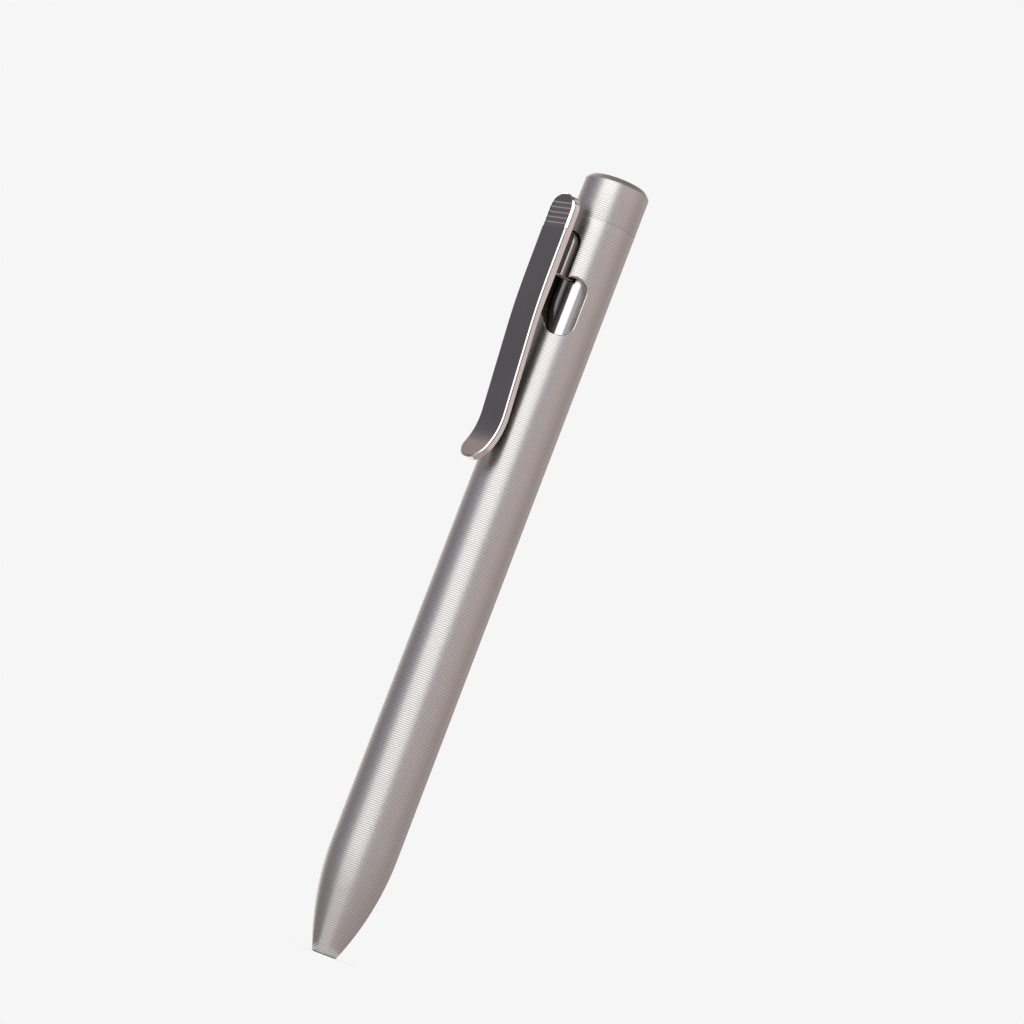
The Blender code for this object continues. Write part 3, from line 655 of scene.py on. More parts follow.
TUBE_PLASTIC = SoftFinish(
    "refill_tube_plastic", (0.9, 0.92, 0.93), 0.12, transmission=0.9, refraction=1.49, tone=0.03
)
PLUG_PLASTIC = SoftFinish("refill_plug_plastic", (0.80, 0.80, 0.80), 0.4)
INK = SoftFinish("ink", (0.01, 0.01, 0.02), 0.15, coat=0.4)
GREASE = SoftFinish("follower_grease", (0.80, 0.76, 0.60), 0.2, transmission=0.5, refraction=1.47)
KEPT_SOLIDS = {
    "lock_screw": SCREW_STEEL, "refill_tube": TUBE_PLASTIC, "refill_tail_plug": PLUG_PLASTIC,
    "refill_tip_holder": PLUG_PLASTIC, "ink_column": INK, "ink_follower": GREASE,
}


def coat(piece: Object, finish: Finish) -> None:
    """Gives a piece its finish, whose material is made when it is first wanted.

    Args:
        piece: The piece.
        finish: Its finish.
    """
    name = f"{finish.name}_finish"
    material = bpy.data.materials.get(name)
    if material is None:
        material = bpy.data.materials.new(name)
        graph = Graph(material)
        graph.close("BsdfPrincipled", finish.inputs(graph))
    piece.data.materials.clear()
    piece.data.materials.append(material)


def dress(piece: Object, finish: Finish, slot: str, body: str, *nodes: str) -> Object:
    """Gives a piece its finish and its body, and hides the solids that it stands for.

    Args:
        piece: The piece.
        finish: Its finish.
        slot: The record's material slot; not used.
        body: The body that it rides on.
        nodes: The solids that it replaces.

    Returns:
        The piece.
    """
    coat(piece, finish)
    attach(piece, body)
    if nodes:
        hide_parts(*nodes)
    return piece


# Pieces


@dataclass
class Track:
    """The hooked opening in the barrel: a straight slot, a ramp and a catch pocket.

    Its wall is cut by a round mill whose axis always meets the pen's axis. At a radius r
    the wall of a mill of half width m, turned to T, lies at T plus the arc sine of
    (distance across / r). Its broken edge goes by steps of (share of the edge's depth,
    share of its width).
    """

    half_width: float = 2.6
    slot_top: float = 11.45
    slot_bottom: float = 25.6
    pocket_turn: float = 40.3
    pocket_top: float = 19.25
    pocket_bottom: float = 30.0
    ramp_turn: float = 36.5
    edge_widths: Pair = (0.06, 0.14)
    edge_turns: Pair = (26.0, 48.0)
    edge_depth: float = 0.1
    edge_steps: tuple[Pair, ...] = ((0.0, 1.0), (0.15, 0.85), (0.85, 0.12), (1.1, 0.0))
    barrel_radius: float = 6.0
    inner_radii: tuple[float, ...] = (5.2, 4.6, 3.9)

    def fall(self) -> float:
        """The angle at which the ramp falls on the barrel's outside, in radians."""
        run = self.barrel_radius * math.radians(self.ramp_turn)
        return math.atan2(self.pocket_bottom - self.slot_bottom, run)

    def outline(self, radius: float, mill: float) -> Array:
        """The opening's line at one radius.

        Formula: ten stretches, each an array of (mill's turn, distance across, depth), in
        order up the slot's left side, over its top, down its right side, over the pocket,
        down and under it, up the ramp and round to the start. A round one has the mill's
        half width times the angle's cosine across and its sine along the depth.

        Args:
            radius: Distance from the axis.
            mill: Half the opening's width there.

        Returns:
            Points (turn, depth), in radians and millimetres, shape (n, 2).
        """
        pocket, ramp, fall = math.radians(self.pocket_turn), math.radians(self.ramp_turn), self.fall()
        slot_high, slot_low = self.slot_top + self.half_width, self.slot_bottom - self.half_width
        pocket_high, pocket_low = self.pocket_top + self.half_width, self.pocket_bottom - self.half_width
        meet = radius * math.sin(math.asin(mill / radius) - pocket)
        meet_depth = pocket_high - math.sqrt(mill**2 - meet**2)

        def stretch(turn: Numbers, across: Numbers, depth: Numbers) -> Array:
            """One stretch as (turn, depth), without its last point."""
            turn, across, depth = np.broadcast_arrays(turn, across, depth)
            return np.stack([turn + np.arcsin(across / radius), depth], axis=1)[:-1]

        def arc(turn: float, centre: float, first: float, last: float, count: int) -> Array:
            """A round stretch about a centre's depth, from one angle of the mill to another."""
            angle = np.linspace(first, last, count)
            return stretch(turn, mill * np.cos(angle), centre + mill * np.sin(angle))

        # The last number of each linspace and arc is its count of points.
        line = np.linspace(1.0, 0.0, 25)
        ramp_depth = slot_low + (pocket_low - slot_low) * line + mill * math.cos(fall)
        return np.concatenate([
            stretch(0.0, -mill, np.linspace(slot_low, slot_high, 21)),
            arc(0.0, slot_high, math.pi, math.tau, 49),
            stretch(0.0, mill, np.linspace(slot_high, meet_depth, 13)),
            arc(pocket, pocket_high, math.pi + math.acos(-meet / mill), math.tau, 37),
            stretch(pocket, mill, np.linspace(pocket_high, pocket_low, 13)),
            arc(pocket, pocket_low, 0.0, QUARTER, 25),
            stretch(np.linspace(pocket, ramp, 4), 0.0, pocket_low + mill),
            arc(ramp, pocket_low, QUARTER, QUARTER + fall, 13),
            stretch(ramp * line, -mill * math.sin(fall), ramp_depth),
            arc(0.0, slot_low, QUARTER + fall, math.pi, 13),
        ])

    def edged(self, radius: float, share: float) -> Array:
        """The opening's line where its broken edge is widened by a share of its whole width.

        Formula: the edge's width grows evenly from the slot's value to the pocket's,
        between the edge's two turns.

        Args:
            radius: Distance from the axis.
            share: 1 on the barrel's outside and 0 below the broken edge.

        Returns:
            Points (turn, depth), in radians and millimetres, shape (n, 2).
        """
        slot, pocket = (self.outline(radius, self.half_width + width * share) for width in self.edge_widths)
        part = np.interp(np.degrees(slot[:, :1]), self.edge_turns, (0.0, 1.0))
        return slot * (1.0 - part) + pocket * part

    def wall(self) -> Surface:
        """The opening's wall with its broken edge: the outlines from the skin to the bore, lofted.

        Returns:
            The wall.
        """
        levels = [(self.barrel_radius - self.edge_depth * down, share) for down, share in self.edge_steps]
        levels += [(radius, 0.0) for radius in self.inner_radii]
        loops = [(radius, self.edged(radius, share)) for radius, share in levels]
        return grid(np.stack([place(radius, loop[:, 0], loop[:, 1]) for radius, loop in loops]), wrap=True)


@dataclass
class Barrel:
    """The barrel: one turned tube with its nose, bores, neck and hooked track."""

    track: Track = field(default_factory=Track)
    radius: float = 6.0
    shoulder: float = 8.35
    neck_radius: float = 4.8
    neck_top: float = 2.7
    groove: Triple = (4.45, 7.44, 8.10)
    thread: Pair = (7.2, 3.1)
    thread_heights: Pair = (0.1, -0.14)
    patch: Pair = (10.5, 31.5)
    patch_rows: int = 43
    patch_columns: tuple[tuple[int, int], ...] = ((-24, 50), (-34, 62))
    long_rows: Pair = (60.0, 92.0)
    nose_start: float = 124.5
    nose_end: float = 144.0
    nose_end_radius: float = 2.15
    nose_rows: int = 60
    tail: Pair = (0.2, 0.5)
    bores: tuple[float, ...] = (3.9, 3.3, 2.5, 1.3)
    bore_ends: tuple[float, ...] = (41.5, 127.0, 138.0)

    def nose(self) -> Array:
        """The nose's side.

        Formula: an arc that leaves the barrel without a step, whose radius is (length
        squared plus drop squared) over twice the drop.

        Returns:
            Points (radius, depth), shape (n, 2).
        """
        length, drop = self.nose_end - self.nose_start, self.radius - self.nose_end_radius
        arc = (length**2 + drop**2) / (2.0 * drop)
        along = np.linspace(0.0, length - self.tail[1], self.nose_rows)
        return np.stack([self.radius - arc + np.sqrt(arc**2 - along**2), self.nose_start + along], axis=1)

    def lower(self) -> Surface:
        """The tube below the track's patch: the outside, the nose and the bores.

        The tail's first corner only shows where the nose's side comes from, so its points
        are left out.

        Returns:
            The turned sheet.
        """
        wide, middle, narrow, hole = self.bores
        wide_end, middle_end, narrow_end = self.bore_ends
        radius, end, start = self.nose_end_radius, self.nose_end, self.patch[1]
        tail = softened([
            (radius + self.tail[0], end - self.tail[1], 0.0), (radius, end, 0.3), (hole, end, 0.12),
            (hole, narrow_end, 0.0), (narrow, narrow_end, 0.0), (narrow, middle_end, 0.0),
            (middle, middle_end, 0.0), (middle, wide_end, 0.0), (wide, wide_end, 0.0), (wide, start, 0.0),
        ])[CORNER_STEPS:]
        outside = np.array([(self.radius, depth) for depth in (start, *self.long_rows)])
        return revolved(np.concatenate([outside, self.nose(), tail]))

    def upper(self) -> Surface:
        """The tube above the track's patch: the shoulder, the neck with its groove and the bore.

        Returns:
            The turned sheets and the thread.
        """
        neck, bore, top, start = self.neck_radius, self.bores[0], self.neck_top, self.patch[0]
        ring, ring_top, ring_end = self.groove
        low, high = self.thread
        below = softened([
            (self.radius, start, 0.0), (self.radius, self.shoulder, 0.02), (neck, self.shoulder, 0.0),
            (neck, ring_end, 0.04), (ring, ring_end, 0.04), (ring, ring_top, 0.04), (neck, ring_top, 0.04),
            (neck, low, 0.0),
        ])
        above = softened([(neck, high, 0.0), (neck, top, 0.25), (bore, top, 0.12), (bore, start, 0.0)])
        thread = threaded(neck, self.thread_heights, self.thread)
        return joined(revolved(below), thread, revolved(above))

    def around_track(self, radius: float, share: float, columns: tuple[int, int]) -> Surface:
        """The round wall at the track's depth, at one radius.

        Args:
            radius: The wall's radius.
            share: The share of the broken edge's width there.
            columns: First and last column of the patch that holds the opening.

        Returns:
            The patch with the opening and the rest of the ring.
        """
        step = math.tau / COLUMNS
        depths = np.linspace(*self.patch, self.patch_rows)
        first, last = columns
        window = self.track.edged(radius, share)
        patch = skin_with_window(radius, np.arange(first, last + 1) * step, depths, window)
        rest = place(radius, np.arange(last, first + COLUMNS + 1) * step, depths[:, None])
        return joined(patch, grid(rest))

    def build(self) -> list[Object]:
        """The whole barrel, dressed.

        Returns:
            The piece.
        """
        outside = self.around_track(self.radius, 1.0, self.patch_columns[0])
        bore = self.around_track(self.bores[0], 0.0, self.patch_columns[1])
        tube = joined(self.upper(), outside, self.track.wall(), bore, self.lower())
        return [dress(object_from("barrel_tube", tube), TURNED_STEEL, "turned_steel", "barrel", "barrel")]


@dataclass
class EndCap:
    """The screwed end cap, with its broad chamfer, and the O-ring under it."""

    radius: float = 6.0
    length: float = 8.34
    chamfer: float = 1.0
    bore_radius: float = 5.1
    roof: float = 2.2
    thread: Pair = (7.4, 3.0)
    thread_heights: Pair = (-0.08, 0.12)
    ring_radius: float = 4.78
    ring_depth: float = 7.77
    ring_wire: float = 0.25
    ring_steps: tuple[int, int] = (33, 96)

    def shell(self) -> Surface:
        """The cap's outside, its thread and its bore's end.

        Returns:
            The turned sheets and the thread.
        """
        radius, bore, length = self.radius, self.bore_radius, self.length
        low, high = self.thread
        outer = softened([
            (0.0, 0.0, 0.0), (radius - self.chamfer, 0.0, 0.3), (radius, self.chamfer, 0.22),
            (radius, length, 0.02), (bore, length, 0.15), (bore, low, 0.0),
        ])
        inner = softened([(bore, high, 0.0), (bore, self.roof, 0.1), (0.0, self.roof, 0.0)])
        return joined(revolved(outer), threaded(bore, self.thread_heights, self.thread), revolved(inner))

    def ring(self) -> Surface:
        """The O-ring, a circle of rubber carried round the neck.

        Returns:
            The turned sheet.
        """
        rows, columns = self.ring_steps
        angle = np.linspace(0.0, math.tau, rows)[:, None]
        around = self.ring_wire * np.hstack([np.cos(angle), np.sin(angle)])
        return revolved(np.array([self.ring_radius, self.ring_depth]) + around, columns)

    def build(self) -> list[Object]:
        """The cap and the O-ring, dressed.

        Returns:
            The pieces.
        """
        return [
            dress(object_from("cap_shell", self.shell()), TURNED_STEEL, "turned_steel", "cap", "end_cap"),
            dress(object_from("seal_ring", self.ring()), RUBBER, "rubber", "barrel", "cap_o_ring"),
        ]


@dataclass
class ClipBar:
    """The clip: a chamfered bar with round ends, grip grooves, a bend and a ski.

    Its stretches are (length, first slope, last slope), and its rows are (first distance
    along it, last distance, step).
    """

    width: float = 6.0
    top: float = 6.15
    top_radius: float = 9.65
    stretches: tuple[Triple, ...] = (
        (18.85, 0.6, 0.6), (6.5, 0.6, 5.7), (15.0, 5.7, 5.7), (6.532, 5.7, -24.0), (3.36, -24.0, -24.0)
    )
    rows: tuple[Triple, ...] = (
        (0.16, 6.8, 0.04), (7.4, 14.5, 1.2), (14.5, 27.0, 0.5), (28.0, 40.0, 1.5)
    )
    ski_rows: Pair = (40.35, 0.2)
    end_rows: int = 25
    least_row: float = 0.008
    thickness: Pair = (1.7, 1.38)
    taper: Pair = (14.5, 10.5)
    face_chamfer: float = 0.178
    grip_chamfer: Pair = (0.31, 0.36)
    grip: tuple[float, float, float, float] = (1.2, 1.8, 6.3, 6.5)
    facet: Pair = (0.032, 0.169)
    face_step: float = 0.02
    side_cut: float = 0.5
    right_share: float = 1.1
    back_chamfer: float = 0.15
    grooves: int = 5
    groove_start: float = 1.75
    groove_pitch: float = 0.93
    groove_fall: float = 0.2
    groove_rise: float = 0.7
    groove_depth: float = 0.16

    def length(self) -> float:
        """The whole length along the clip's middle line."""
        return sum(stretch[0] for stretch in self.stretches)

    def middle(self, along: Array) -> tuple[Array, Array, Array]:
        """The clip's middle line.

        Formula: each stretch turns its slope evenly from its first to its last value, so
        the depth gained is the change of the slope's sine over the bend, the radius gained
        is the change of its cosine over the bend, and a straight stretch adds its run
        times the cosine and minus the sine.

        Args:
            along: Distances from the clip's top end.

        Returns:
            Depth, radius and slope, in millimetres and radians.
        """
        depth, radius = np.full_like(along, self.top), np.full_like(along, self.top_radius)
        slope, start = np.full_like(along, math.radians(self.stretches[0][1])), 0.0
        for length, first, last in self.stretches:
            first, last = math.radians(first), math.radians(last)
            run = np.clip(along - start, 0.0, length)
            bend = (last - first) / length
            if bend:
                depth += (np.sin(first + bend * run) - math.sin(first)) / bend
                radius += (np.cos(first + bend * run) - math.cos(first)) / bend
            else:
                depth += run * math.cos(first)
                radius -= run * math.sin(first)
            slope += bend * run
            start += length
        return depth, radius, slope

    def stations(self) -> Array:
        """Distances along the clip, close together at the ends, the grooves and the ski.

        Returns:
            The distances, in rising order.
        """
        end, total = self.width / 2.0, self.length()
        round_end = end * (1.0 - np.cos(np.linspace(0.0, QUARTER, self.end_rows)))
        first, step = self.ski_rows
        rows = [np.arange(*row) for row in (*self.rows, (first, total - end, step))]
        places = np.unique(np.round(np.concatenate([round_end, *rows, total - round_end]), 4))
        return places[np.diff(places, prepend=-1.0) > self.least_row]

    def outline(self, inset: Numbers) -> tuple[Array, Array]:
        """Half of the clip's plan, drawn in by an inset.

        Formula: in a round end the half width is the square root of (end squared less
        reach squared), and both shrink towards the end's centre by the inset.

        Args:
            inset: How far the line is drawn in.

        Returns:
            Distances along the clip and half widths.
        """
        end, total, along = self.width / 2.0, self.length(), self.stations()
        shrink = (end - inset) / end
        before = np.clip(end - along, 0.0, None)
        after = np.clip(along - (total - end), 0.0, None)
        half = np.sqrt(np.clip(end**2 - (before + after) ** 2, 0.0, None)) * shrink
        return along + (before - after) * (1.0 - shrink), half

    def groove(self, along: Array) -> Array:
        """How far the face drops in the grip grooves.

        Formula: each groove falls steeply over its first stretch and rises slowly over its
        second, both straight, and the drop is the least of the two lines, not under 0.

        Args:
            along: Distances from the clip's top end.

        Returns:
            The drop.
        """
        starts = self.groove_start + self.groove_pitch * np.arange(self.grooves)
        past = along[..., None] - starts
        fall = past / self.groove_fall
        rise = 1.0 - (past - self.groove_fall) / self.groove_rise
        return self.groove_depth * np.clip(np.minimum(fall, rise), 0.0, 1.0).max(axis=-1)

    def point(
        self, along: Array, across: Array, level: float, rise: Numbers, cut: float
    ) -> Array:
        """Points of the clip at one level of its thickness.

        Formula: the thickness goes from its first to its last value over the taper by the
        share squared times (3 less twice the share).

        Args:
            along: Distances from the top end.
            across: Distances from the clip's middle line.
            level: 0 on the back, 1 on the face.
            rise: Further distance outwards.
            cut: The share of the grip grooves' depth that this level drops.

        Returns:
            The points in metres.
        """
        depth, radius, slope = self.middle(along)
        share = np.clip((along - self.taper[0]) / self.taper[1], 0.0, 1.0)
        first, last = self.thickness
        thick = first + (last - first) * share**2 * (3.0 - 2.0 * share)
        lift = (level - 0.5) * thick + rise - cut * self.groove(along)
        return upright(across, radius + lift * np.cos(slope), depth + lift * np.sin(slope))

    def surface(self) -> Surface:
        """The bar's surface: plan loops at levels of its thickness, closed by strips.

        Returns:
            The sides, the face and the back.
        """
        (facet_in, facet_down), back = self.facet, self.back_chamfer
        gripped = np.interp(self.stations(), self.grip, (0.0, 1.0, 1.0, 0.0))
        narrow = self.face_chamfer
        wide, deep = (narrow + (broad - narrow) * gripped for broad in self.grip_chamfer)
        levels = [
            (0.0, 0.0, back, 0.0),
            (0.0, back, 0.0, 0.0),
            (1.0, -deep - facet_down, 0.0, self.side_cut),
            (1.0, -deep, facet_in, self.side_cut),
            (1.0, 0.0, wide + facet_in, 0.0),
            (1.0, 0.0, wide + facet_in + self.face_step, 1.0),
        ]
        loops, strips = [], []
        for level, rise, inset, cut in levels:
            along, half = self.outline(inset)
            right = self.point(along, half * self.right_share, level, rise, cut)
            left = self.point(along, -half, level, rise, cut)
            loops.append(np.concatenate([right, left[::-1]]))
            strips.append(np.stack([right, left], axis=1))
        return joined(grid(np.stack(loops), wrap=True), grid(strips[0]), grid(strips[-1]))

    def build(self) -> list[Object]:
        """The bar, dressed."""
        bar = object_from("clip_bar", self.surface(), sharp=9.0)
        return [dress(bar, CLIP_STEEL, "clip_steel", "clip", "clip")]


@dataclass
class Post:
    """The block in the slot under the clip, and the clip's boss above it."""

    half_width: float = 2.5
    round_centre: float = 14.25
    bevel_start: float = 15.5
    bottom: float = 20.0
    boss_inset: float = 0.15
    block: Pair = (4.0, 7.05)
    boss: Pair = (7.2, 8.9)
    edges: Pair = (0.2, 0.05)
    edge_middle: Pair = (0.5, 0.4)
    core: float = 0.01
    stud: Triple = (1.4, -1.3, 4.1)
    rivet: Triple = (1.1, 6.9, 9.1)
    pin_edge: float = 0.1
    pin_steps: int = 48
    stud_depth: float = 15.85
    track: Track = field(default_factory=Track)

    def outline(self, inset: float) -> Array:
        """The block's plan: a round top, a flat underside and a bevel beside the ramp.

        Formula: half a circle round the top's centre, an arc of the same radius round the
        bevel's start, a line that falls like the ramp, and the flat bottom.

        Args:
            inset: How far the line is drawn in.

        Returns:
            Points (across, depth), shape (n, 2).
        """
        half, bottom, fall = self.half_width - inset, self.bottom - inset, self.track.fall()
        top = np.linspace(0.0, math.pi, 41)
        arc = np.linspace(0.0, QUARTER - fall, 9)
        round_top = np.stack([half * np.cos(top), self.round_centre - half * np.sin(top)], axis=1)
        bevel = np.stack([-half * np.cos(arc), self.bevel_start + half * np.sin(arc)], axis=1)
        across, depth = bevel[-1]
        foot = np.array([[across + (bottom - depth) / math.tan(fall), bottom], [half, bottom]])
        return np.concatenate([round_top, bevel, foot])

    def prism(self, inset: float, reach: Pair, edge: float) -> Surface:
        """The plan carried along a radius, with a rounded outer edge and capped ends.

        Each end is drawn in to a thin core and closed in its middle point.

        Args:
            inset: How far the plan is drawn in.
            reach: First and last distance from the axis.
            edge: The outer edge's softness.

        Returns:
            The closed surface.
        """
        inner, outer = reach
        core = self.half_width - inset - self.core
        more, less = (edge * share for share in self.edge_middle)
        levels = [
            (core, inner), (0.0, inner), (0.0, outer - edge), (more, outer - less), (edge, outer),
            (core, outer),
        ]
        plans = [(self.outline(inset + drawn), radius) for drawn, radius in levels]
        loops = [upright(plan[:, 0], radius, plan[:, 1]) for plan, radius in plans]
        first, last = (np.broadcast_to(loop.mean(axis=0), loop.shape) for loop in (loops[0], loops[-1]))
        return grid(np.stack([first, *loops, last]), wrap=True)

    def pin(self, size: Triple) -> Surface:
        """A round pin along the clip's side, at the stud's depth.

        Args:
            size: Radius, first and last distance from the axis.

        Returns:
            The closed surface.
        """
        radius, first, last = size
        profile = softened([
            (0.0, first, 0.0), (radius, first, self.pin_edge), (radius, last, 0.0), (0.0, last, 0.0),
        ])
        reach, out = profile[:, :1], profile[:, 1:]
        turns = circle(self.pin_steps)
        return grid(upright(reach * np.cos(turns), out, self.stud_depth + reach * np.sin(turns)), wrap=True)

    def build(self) -> list[Object]:
        """The block with its stud and rivet, and the boss, dressed.

        Returns:
            The pieces.
        """
        block_edge, boss_edge = self.edges
        block = joined(self.prism(0.0, self.block, block_edge), self.pin(self.stud), self.pin(self.rivet))
        boss = self.prism(self.boss_inset, self.boss, boss_edge)
        return [
            dress(object_from("post_block", block), SHADED_POST_STEEL, "clip_steel", "clip", "clip_post"),
            dress(object_from("clip_boss", boss), SHADED_POST_STEEL, "clip_steel", "clip"),
        ]


@dataclass
class Plunger:
    """The polished rod that carries the post and pushes the refill."""

    radius: float = 3.7
    top: float = 3.3
    end: float = 33.3
    screw_radius: float = 1.75
    screw_cone: float = 0.2
    cup_radius: float = 3.25
    cup_top: float = 28.5
    cross_radius: float = 1.7
    cross_depth: float = 15.85
    cross_start: float = 0.5
    cross_length: float = 4.2
    cross_sides: int = 62
    columns: int = 144

    def cutter(self) -> Object:
        """The round tool of the cross hole, from inside the screw's bore to outside the rod.

        Returns:
            The tool.
        """
        middle = -(self.cross_start + self.cross_length / 2.0)
        shift = Matrix.Translation((0.0, middle * MM, -self.cross_depth * MM))
        radius = self.cross_radius * MM
        shape = bmesh.new()
        bmesh.ops.create_cone(
            shape, cap_ends=True, segments=self.cross_sides, radius1=radius, radius2=radius,
            depth=self.cross_length * MM, matrix=shift @ Matrix.Rotation(QUARTER, 4, "X"),
        )
        tool = bpy.data.meshes.new("cross_hole")
        shape.to_mesh(tool)
        shape.free()
        return placed("cross_hole", tool)

    def build(self) -> list[Object]:
        """The rod with its screw bore, cup and cross hole, dressed.

        Returns:
            The piece.
        """
        piece = object_from("plunger_rod", turned([
            (self.screw_radius, self.top, 0.1), (self.radius, self.top, 0.3), (self.radius, self.end, 0.3),
            (self.cup_radius, self.end, 0.12), (self.cup_radius, self.cup_top, 0.2), (0.0, self.cup_top, 0.0),
            (0.0, self.cross_depth + self.screw_cone, 0.0), (self.screw_radius, self.cross_depth, 0.0),
        ], self.columns))
        cutter = self.cutter()
        cut = piece.modifiers.new("cross_hole", "BOOLEAN")
        cut.operation, cut.solver, cut.object = "DIFFERENCE", "EXACT", cutter
        bpy.context.view_layer.update()
        finished = bpy.data.meshes.new_from_object(piece.evaluated_get(bpy.context.evaluated_depsgraph_get()))
        piece.modifiers.clear()
        piece.data = finished
        bpy.data.objects.remove(cutter)
        return [dress(piece, POLISHED_STEEL, "polished_steel", "clip", "plunger")]


@dataclass
class Spring:
    """The return spring in the nose, with closed ends."""

    wire: float = 0.22
    mean_radius: float = 1.97
    turns: int = 16
    closed_turns: float = 0.8
    closed_climb: float = 0.03
    turn_steps: int = 40
    wire_steps: int = 16
    first: float = 120.02
    last: float = 137.48
    fixed_end: float = 137.7
    travel: float = 7.2

    def surface(self) -> Surface:
        """The wire's surface.

        Formula: a circle of the wire's radius carried along a helix, on the directions
        outwards and along the axis; the helix climbs slowly in its first and last turn.
        The ends are closed by points on the centre line.

        Returns:
            The closed tube.
        """
        steps = self.turns * self.turn_steps
        closed, climb = self.closed_turns / self.turns, self.closed_climb
        share = np.pad(np.linspace(0.0, 1.0, steps + 1), 1, "edge")[:, None]
        wire = np.pad(np.full((steps + 1, 1), self.wire), ((1, 1), (0, 0)))
        eased = np.interp(share, [0.0, closed, 1.0 - closed, 1.0], [0.0, climb, 1.0 - climb, 1.0])
        depth = self.first + (self.last - self.first) * eased
        around = circle(self.wire_steps)
        radius = self.mean_radius + wire * np.cos(around)
        return grid(place(radius, share * self.turns * math.tau, depth + wire * np.sin(around)), wrap=True)

    def build(self) -> list[Object]:
        """The spring, dressed, on a mesh of its own.

        Returns:
            The piece.
        """
        piece = object_from("spring_coil", self.surface(), sharp=60.0)
        dress(piece, SPRING_WIRE, "spring_wire", "barrel", "return_spring")
        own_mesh(piece)
        return [piece]


@dataclass
class Refill:
    """The refill's tip and ball; its other pieces keep their solids."""

    stem: Pair = (0.7, 125.3)
    body: Triple = (1.0, 129.8, 137.4)
    end: float = 139.5
    rim: float = 0.48
    lip: Pair = (0.03, 0.12)
    hole: float = 0.25
    ball: Pair = (0.35, 139.27)
    play: float = 0.03
    tip_columns: int = 96
    ball_steps: tuple[int, int] = (25, 48)

    def build(self) -> list[Object]:
        """The tip and the ball, dressed.

        Returns:
            The pieces.
        """
        stem_radius, stem_top = self.stem
        body_radius, body_top, body_end = self.body
        ball_radius, ball_depth = self.ball
        socket = ball_radius + self.play
        tip = turned([
            (self.hole, stem_top, 0.0), (stem_radius, stem_top, 0.08), (stem_radius, body_top, 0.0),
            (body_radius, body_top, 0.12), (body_radius, body_end, 0.3),
            (self.rim, self.end - self.lip[1], 0.08), (self.rim - self.lip[0], self.end, 0.02),
            (socket, self.end, 0.0), (socket, ball_depth - socket, 0.0),
            (self.hole, ball_depth - socket, 0.0),
        ], self.tip_columns)
        rows, columns = self.ball_steps
        angle = np.linspace(0.0, math.pi, rows)
        profile = np.stack([ball_radius * np.sin(angle), ball_depth - ball_radius * np.cos(angle)], axis=1)
        cone = object_from("tip_cone", tip)
        ball = object_from("tip_ball", revolved(profile, columns), sharp=80.0)
        return [
            dress(cone, TIP_METAL, "refill_tip", "refill", "refill_tip"),
            dress(ball, CARBIDE, "ball", "refill", "writing_ball"),
        ]


# Studio


@dataclass(frozen=True)
class Shell:
    """A ring of the studio that only reflections see, such as its wall or its table.

    It follows a line of (distance, depth) round the pen. Its light goes evenly from one
    stop (azimuth, red, green, blue) to the next, and from the line's start to its end by a
    factor. Azimuths run from the clip's side towards the catch pocket.
    """

    name: str
    line: tuple[Pair, Pair]
    stops: tuple[tuple[float, float, float, float], ...]
    factor: float = 1.0
    columns: int = 361
    rows: int = 9

    def build(self, glow: Material) -> None:
        """The ring: a grid over azimuth and its line, with its light kept on its points.

        Args:
            glow: The material that glows with that light.
        """
        azimuth = np.linspace(-180.0, 180.0, self.columns)
        share = np.linspace(0.0, 1.0, self.rows)[:, None]
        (near, first), (far, last) = self.line
        depth = first + (last - first) * share
        sheet = grid(place(near + (far - near) * share, np.radians(azimuth), depth))
        table = np.array(self.stops)
        ring = np.stack([np.interp(azimuth, table[:, 0], table[:, i]) for i in (1, 2, 3)], axis=-1)
        light = ring[None] * (1.0 + (self.factor - 1.0) * share)[..., None]
        mesh = mesh_from(self.name, sheet)
        colours = mesh.color_attributes.new("light", "FLOAT_COLOR", "POINT")
        colours.data.foreach_set("color", np.insert(light, 3, 1.0, axis=-1).astype(np.float32).ravel())
        mesh.materials.append(glow)
        piece = placed(self.name, mesh)
        for ray in ("camera", "diffuse", "shadow", "transmission", "volume_scatter"):
            setattr(piece, f"visible_{ray}", False)


def seen_directly(graph: Graph) -> Value:
    """1 where the camera, a reflection or clear plastic sees a surface, and 0 for matt light.

    Args:
        graph: The graph that asks.

    Returns:
        The share.
    """
    rays = graph.add("LightPath").socket.node.outputs
    camera, glossy, through = (
        Value(graph, rays[f"Is {name} Ray"]) for name in ("Camera", "Glossy", "Transmission")
    )
    return camera.math("MAXIMUM", glossy).math("MAXIMUM", through)


